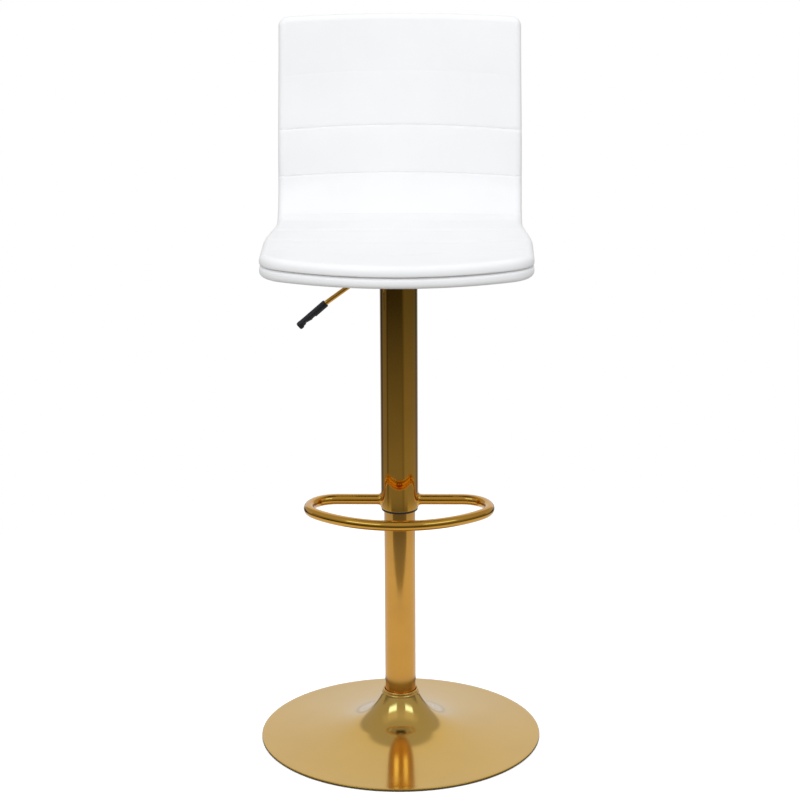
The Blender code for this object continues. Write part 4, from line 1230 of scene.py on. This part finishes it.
def sewn(pad, channels, depth, width, pucker):
    """Height of the sewn channels and of the small gathers beside them, over the face sheet."""
    made = np.zeros_like(pad.x)
    for number, (length, share) in enumerate(channels):
        off = np.abs(pad.along - length)[:, None]
        made -= depth * share / (1 + (off / width) ** 2)
        phase = 1.7 * number
        across = pad.x * 2 * math.pi
        gathers = np.sin(across / 0.0131 + phase) + 0.7 * np.sin(across / 0.0213 - phase)
        gathers += 0.5 * np.sin(across / 0.0074 + 2.3 * phase)
        made += pucker * share * gathers * np.exp(-off / 0.007) * smooth(off / 0.0015)
    return made


def pad_piece(name, pad, lift, stands_for):
    """A padded piece from the pad's shape, in white vinyl."""
    points, faces = pad.shape(lift, edge_fade())
    bm, mesh = pad_bmesh(name + "_blank", points, faces)
    bpy.data.meshes.remove(mesh)
    piece(name, bm, "white_vinyl", "seat", stands_for, 65.0)


def make_stitches(pad, lift):
    """A row of small thread stitches at the bottom of each deep channel."""
    sizes = bpy.context.scene.stool_upholstery
    bm = bmesh.new()
    rings, sides = 4, 6
    for length, share in CHANNELS:
        if share < STITCHED_SHARE:
            continue
        row = int(np.argmin(np.abs(pad.along - length)))
        half = pad.x[row, -1] - 0.002
        count = int(2 * half / sizes.stitch_pitch)
        for number in range(count):
            centre = -half + (number + 0.5) * 2 * half / count
            reach = sizes.stitch_pitch * 0.36
            verts = []
            for i in range(rings + 1):
                bend = math.pi * i / rings
                x = centre - reach * math.cos(bend)
                place = np.interp(x, pad.x[row], pad.length[row])
                base = CUSHION_FACE + np.interp(x, pad.x[row], lift[row])
                for turn in circle(sides):
                    thick = 0.00032 * math.sqrt(max(0.08, math.sin(bend)))
                    high = base - 0.00012 + 0.00022 * math.sin(bend) + thick * math.sin(turn)
                    verts.append(bm.verts.new(in_space(x, place + thick * math.cos(turn), high)))
            for near in range(0, rings * sides, sides):
                far = near + sides
                bridge(bm, verts[near:far], verts[far:far + sides])
            bm.faces.new(verts[:sides])
            bm.faces.new(verts[-sides:])
    piece("channel_stitches", bm, "thread", "seat", (), 60.0)


def make_cushion():
    sizes = bpy.context.scene.stool_upholstery
    coarse = Pad(cushion_layers(3), 0.0065, 58, 3)
    fine = Pad(cushion_layers(EDGE_STEPS), 0.0035, 128, CORNER_ROWS, CHANNELS)
    rise = swollen(coarse, CHANNELS, None, sizes.crown, 1, sizes.pressure)
    lift = on_fine_sheet(coarse, rise, fine)
    lift += sewn(fine, CHANNELS, sizes.channel_depth, sizes.channel_width, sizes.pucker)
    pad_piece("seat_cushion", fine, lift, ["front_cushion"])
    make_stitches(fine, lift)


def make_rear_cover():
    sizes = bpy.context.scene.stool_upholstery
    flat_area = (PLATE_HALF_X + 0.004, PLATE_HALF_Y + 0.004)
    coarse = Pad(cover_layers(3), 0.0065, 58, 3)
    fine = Pad(cover_layers(EDGE_STEPS), 0.0045, 104, CORNER_ROWS)
    rise = swollen(coarse, (), flat_area, sizes.cover_crown, -1, sizes.pressure)
    lift = -on_fine_sheet(coarse, rise, fine)
    pad_piece("under_and_rear_cover", fine, lift, ["rear_cover"])


# ======================= finishes of the inner pieces =======================

INNER_SLOTS = {
    "black_steel": ("base_stiffener_plate", "base_hub", "gas_cylinder"),
    "nylon": ("column_guide_bush",),
    "zinc_steel": ("lower_thrust_washer", "thrust_ball_cage", "upper_thrust_washer", "rod_retaining_clip",
                   "piston_rod", "valve_button", "tee_nut_1", "tee_nut_2", "tee_nut_3", "tee_nut_4"),
    "black_rubber": ("bump_stop",),
    "plywood": ("seat_shell",),
}


def finish_inner_nodes():
    for slot, names in INNER_SLOTS.items():
        for name in names:
            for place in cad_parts[name].material_slots:
                place.material = finish_of(slot)


# ======================= studio =======================

def make_floor():
    """A pale round floor that fades out at its edge. To all rays but the camera's it is a glow, with a
    painted contact shadow round the base and painted shade in a wedge in front of the column.
    """
    radius = bpy.context.scene.stool_studio.floor_radius
    bm = bmesh.new()
    bmesh.ops.create_circle(bm, cap_ends=True, radius=radius, segments=128)
    mesh = bpy.data.meshes.new("studio_floor")
    bm.to_mesh(mesh)
    bm.free()
    floor = bpy.data.objects.new("studio_floor", mesh)
    bpy.context.scene.collection.objects.link(floor)
    made, finish = finish_named("floor")
    across, along, _ = finish.split(finish.places())
    reach = finish.reach(across, along)
    pale = finish.node("ShaderNodeBsdfPrincipled", None, {
        "Base Color": (0.92, 0.92, 0.92), "Roughness": 0.9, "Specular IOR Level": 0.0,
        "Emission Color": (1.0, 1.0, 1.0), "Emission Strength": 0.45})
    way = finish.maths("ABSOLUTE", finish.maths("ARCTAN2", across, along * -1.0))
    wedge = finish.maths("SQRT", finish.between(reach, 0.64, 0.93, smooth=False)) * 0.9
    shade = finish.between(reach, 0.63, 0.69) * finish.between(way - wedge, -0.07, 0.07, 1.0, 0.0)
    mirrored = finish.node("ShaderNodeLightPath").outputs["Is Glossy Ray"]
    strength = finish.between(reach, 0.78, 1.08, 0.66, 0.52) - 0.40 * shade
    # painted contact shadow: the floor's glow drops to 0.15 in a ring just round the base
    strength = strength * finish.between(reach, BASE_RADIUS + 0.016, BASE_RADIUS + 0.034, 0.15, 1.0)
    strength = strength * (0.66 * Level(finish, mirrored) + 0.34)
    dim = finish.node("ShaderNodeEmission", None, {"Color": (1.0, 1.0, 1.0), "Strength": strength})
    clear = finish.node("ShaderNodeBsdfTransparent")
    seen = finish.node("ShaderNodeLightPath").outputs["Is Camera Ray"]
    soft_edge = finish.between(reach, radius * 0.72, radius * 0.99)
    hard_edge = finish.between(reach, radius * 0.89, radius * 0.95)
    near = finish.node("ShaderNodeMixShader", None, {0: soft_edge, 1: pale.outputs[0], 2: clear.outputs[0]})
    far = finish.node("ShaderNodeMixShader", None, {0: hard_edge, 1: dim.outputs[0], 2: clear.outputs[0]})
    mixed = finish.node("ShaderNodeMixShader", None, {0: seen, 1: far.outputs[0], 2: near.outputs[0]})
    finish.node("ShaderNodeOutputMaterial", None, {"Surface": mixed.outputs[0]})
    mesh.materials.append(made)


def window(finish, value, low, high, soft):
    """1 between two values and 0 outside them, with soft edges."""
    opening = finish.between(value, low - soft, low + soft)
    return opening * finish.between(value, high - soft, high + soft, 1.0, 0.0)


def softbox(finish, turn, rise, box):
    """Brightness of one soft box: (turn from, to, rise from, to, softness, strength), in degrees."""
    turn_low, turn_high, rise_low, rise_high, soft, strength = box
    inside = window(finish, turn, turn_low, turn_high, soft) * window(finish, rise, rise_low, rise_high, soft)
    return inside * strength


def low_wall(finish, turn, rise, wall):
    """Brightness of a stretch under the horizon: (turn from, to, softness, at eye level, low down)."""
    turn_low, turn_high, soft, level, low = wall
    inside = window(finish, turn, turn_low, turn_high, soft) * finish.between(rise, 0.0, 6.0, 1.0, 0.0)
    return inside * finish.between(rise, -19.0, -14.4, low, level, smooth=False)


# Soft boxes round the stool, in degrees: 0 is the camera's side, 90 the right hand, rise over the horizon.
SOFTBOXES = (
    (-400, 400, 0, 120, 4, 0.38),       # walls and ceiling
    (-96, 96, 0, 18, 4, -0.20),         # in front, less light near eye level
    (-84, 84, 40, 60, 8, 0.08),         # over the camera
    (-62, -16, 38, 56, 6, 0.10),        # glow over the left lamp
    (22, 66, 38, 56, 6, 0.10),          # glow over the right lamp
)
LAMPS = (                               # cooler than the rest of the room
    (-58, -20, 31, 40, 2.5, 1.0),       # left
    (26, 62, 31, 40, 2.5, 0.95),        # right
)
LAMP_COLOUR = (1.0, 1.55, 2.7)
BACKDROP = (148, 4, -30, 50, 3, 0.30)   # turn from, softness, rise from, to, softness, strength
LOW_WALLS = (
    (-74, 22, 9, 0.006, 0.235),         # in front
    (-122, -80, 7, 0.09, 0.25),         # left card
    (26, 128, 12, 0.08, 0.29),          # right
    (-180, -128, 6, 0.02, 0.14),        # behind, on the left
    (134, 180, 6, 0.03, 0.18),          # behind, on the right
)
EVEN_LIGHT = 0.66                       # what matt surfaces see all round
ROOM_GLOW = 0.012                       # the least that a mirrored ray sees


def backdrop(finish, turn, rise):
    """Brightness of the pale backdrop behind the stool."""
    turn_from, turn_soft, rise_low, rise_high, soft, strength = BACKDROP
    inside = finish.between(finish.maths("ABSOLUTE", turn), turn_from - turn_soft, turn_from + turn_soft)
    return inside * window(finish, rise, rise_low, rise_high, soft) * strength


def make_world():
    """White to the camera; to the object, a dim room with soft boxes of light."""
    world = bpy.data.worlds.new("studio")
    bpy.context.scene.world = world
    world.use_nodes = True
    finish = Finish(world.node_tree)
    across, along, up = finish.split(finish.places("Generated"))
    degrees = 180 / math.pi
    turn = finish.maths("ARCTAN2", across, along * -1.0) * degrees
    rise = finish.maths("ARCSINE", up) * degrees
    light = backdrop(finish, turn, rise) + ROOM_GLOW
    for box in SOFTBOXES:
        light = light + softbox(finish, turn, rise, box)
    for wall in LOW_WALLS:
        light = light + low_wall(finish, turn, rise, wall)
    lamps = softbox(finish, turn, rise, LAMPS[0])
    for box in LAMPS[1:]:
        lamps = lamps + softbox(finish, turn, rise, box)
    light = light + lamps
    mirrored = Level(finish, finish.node("ShaderNodeLightPath").outputs["Is Glossy Ray"])
    light = light * mirrored + EVEN_LIGHT * (1.0 - mirrored)
    colour = finish.blend(lamps, (1.0, 1.0, 1.0), LAMP_COLOUR)
    room = finish.node("ShaderNodeBackground", None, {"Color": colour, "Strength": light})
    white = finish.node("ShaderNodeBackground", None, {"Color": (1.0, 1.0, 1.0), "Strength": 1.0})
    seen = finish.node("ShaderNodeLightPath").outputs["Is Camera Ray"]
    mixed = finish.node("ShaderNodeMixShader", None, {0: seen, 1: room.outputs[0], 2: white.outputs[0]})
    finish.node("ShaderNodeOutputWorld", None, {"Surface": mixed.outputs[0]})


def make_light(name, place, aim, size, power):
    light = bpy.data.lights.new(name, "AREA")
    light.shape = "RECTANGLE"
    light.size, light.size_y = size
    light.energy = power
    made = bpy.data.objects.new(name, light)
    bpy.context.scene.collection.objects.link(made)
    made.location = place
    made.rotation_euler = (Vector(aim) - Vector(place)).to_track_quat("-Z", "Y").to_euler()
    made.visible_camera = False
    made.visible_glossy = False


def make_camera():
    sizes = bpy.context.scene.stool_studio
    data = bpy.data.cameras.new("studio_camera")
    data.sensor_width = 36.0
    data.lens = sizes.lens
    camera = bpy.data.objects.new("studio_camera", data)
    bpy.context.scene.collection.objects.link(camera)
    place = Matrix.Rotation(sizes.camera_turn, 4, "Z") @ Matrix.Translation(
        (sizes.camera_aside, -sizes.camera_distance, sizes.camera_height))
    camera.matrix_world = (place @ Matrix.Rotation(math.pi / 2 - sizes.camera_pitch, 4, "X")
                           @ Matrix.Rotation(sizes.camera_roll, 4, "Z"))
    bpy.context.scene.camera = camera


def make_stage():
    make_floor()
    make_world()
    make_camera()
    make_light("key_light", (-1.4, -3.1, 2.6), (0.0, 0.0, 0.8), (2.0, 1.6), 44.0)
    make_light("fill_light", (1.9, -2.7, 2.4), (0.0, 0.0, 0.8), (2.0, 1.6), 22.0)
    make_light("top_light", (0.0, 0.3, 3.2), (0.0, 0.0, 0.0), (2.2, 2.2), 16.0)
    view = bpy.context.scene.view_settings
    view.view_transform = "Standard"
    view.look = "None"
    view.exposure = 0.0
    view.gamma = 1.0


# ======================= operators and panel =======================

class STOOL_OT_base(bpy.types.Operator):
    """Make the spun base and its floor pad"""

    bl_idname = "stool.make_base"
    bl_label = "Base"

    def execute(self, context):
        make_base()
        return {"FINISHED"}


class STOOL_OT_column(bpy.types.Operator):
    """Make the column tube, the footrest sleeve and the sleeve's two plastic rings"""

    bl_idname = "stool.make_column"
    bl_label = "Column and sleeve"

    def execute(self, context):
        make_column()
        return {"FINISHED"}


class STOOL_OT_footrest(bpy.types.Operator):
    """Make the footrest ring and its welds"""

    bl_idname = "stool.make_footrest"
    bl_label = "Footrest"

    def execute(self, context):
        make_footrest()
        return {"FINISHED"}


class STOOL_OT_mounting(bpy.types.Operator):
    """Make the plate, socket, bolts and bracket under the seat"""

    bl_idname = "stool.make_mounting"
    bl_label = "Seat mounting"

    def execute(self, context):
        make_mounting()
        return {"FINISHED"}


class STOOL_OT_lever(bpy.types.Operator):
    """Make the release lever and its grip"""

    bl_idname = "stool.make_lever"
    bl_label = "Release lever"

    def execute(self, context):
        make_lever()
        return {"FINISHED"}


class STOOL_OT_cushion(bpy.types.Operator):
    """Make the channelled cushion of the seat and back, with its stitches"""

    bl_idname = "stool.make_cushion"
    bl_label = "Cushion"

    def execute(self, context):
        make_cushion()
        return {"FINISHED"}


class STOOL_OT_rear_cover(bpy.types.Operator):
    """Make the padded cover under the seat and behind the back"""

    bl_idname = "stool.make_rear_cover"
    bl_label = "Rear cover"

    def execute(self, context):
        make_rear_cover()
        return {"FINISHED"}


class STOOL_OT_inner_finishes(bpy.types.Operator):
    """Give the inner pieces of the frame their finishes"""

    bl_idname = "stool.finish_inner"
    bl_label = "Inner finishes"

    def execute(self, context):
        finish_inner_nodes()
        return {"FINISHED"}


class STOOL_OT_stage(bpy.types.Operator):
    """Make the floor, the light and the camera"""

    bl_idname = "stool.make_stage"
    bl_label = "Studio"

    def execute(self, context):
        make_stage()
        return {"FINISHED"}


OPERATORS = (STOOL_OT_base, STOOL_OT_column, STOOL_OT_footrest, STOOL_OT_mounting, STOOL_OT_lever,
             STOOL_OT_cushion, STOOL_OT_rear_cover, STOOL_OT_inner_finishes, STOOL_OT_stage)


class STOOL_PT_panel(bpy.types.Panel):
    """Settings and makers of the bar stool"""

    bl_label = "Bar Stool"
    bl_idname = "STOOL_PT_panel"
    bl_space_type = "VIEW_3D"
    bl_region_type = "UI"
    bl_category = "Bar Stool"

    def draw(self, context):
        for group in (context.scene.stool_colours, context.scene.stool_upholstery, context.scene.stool_metal,
                      context.scene.stool_studio):
            box = self.layout.box()
            for name in group.bl_rna.properties.keys():
                if name not in ("rna_type", "name"):
                    box.prop(group, name)
        for operator in OPERATORS:
            self.layout.operator(operator.bl_idname)


SETTINGS = {"stool_colours": StoolColours, "stool_upholstery": UpholsterySizes, "stool_metal": MetalSizes,
            "stool_studio": StudioSizes}


def register():
    for settings in SETTINGS.values():
        bpy.utils.register_class(settings)
    for name, settings in SETTINGS.items():
        setattr(bpy.types.Scene, name, PointerProperty(type=settings))
    for operator in OPERATORS:
        bpy.utils.register_class(operator)
    bpy.utils.register_class(STOOL_PT_panel)


def unregister():
    bpy.utils.unregister_class(STOOL_PT_panel)
    for operator in reversed(OPERATORS):
        bpy.utils.unregister_class(operator)
    for name, settings in SETTINGS.items():
        delattr(bpy.types.Scene, name)
        bpy.utils.unregister_class(settings)


def main():
    register()
    bpy.ops.stool.make_base()
    bpy.ops.stool.make_column()
    bpy.ops.stool.make_footrest()
    bpy.ops.stool.make_mounting()
    bpy.ops.stool.make_lever()
    bpy.ops.stool.make_cushion()
    bpy.ops.stool.make_rear_cover()
    bpy.ops.stool.finish_inner()
    bpy.ops.stool.make_stage()


if __name__ == "__main__":
    main()
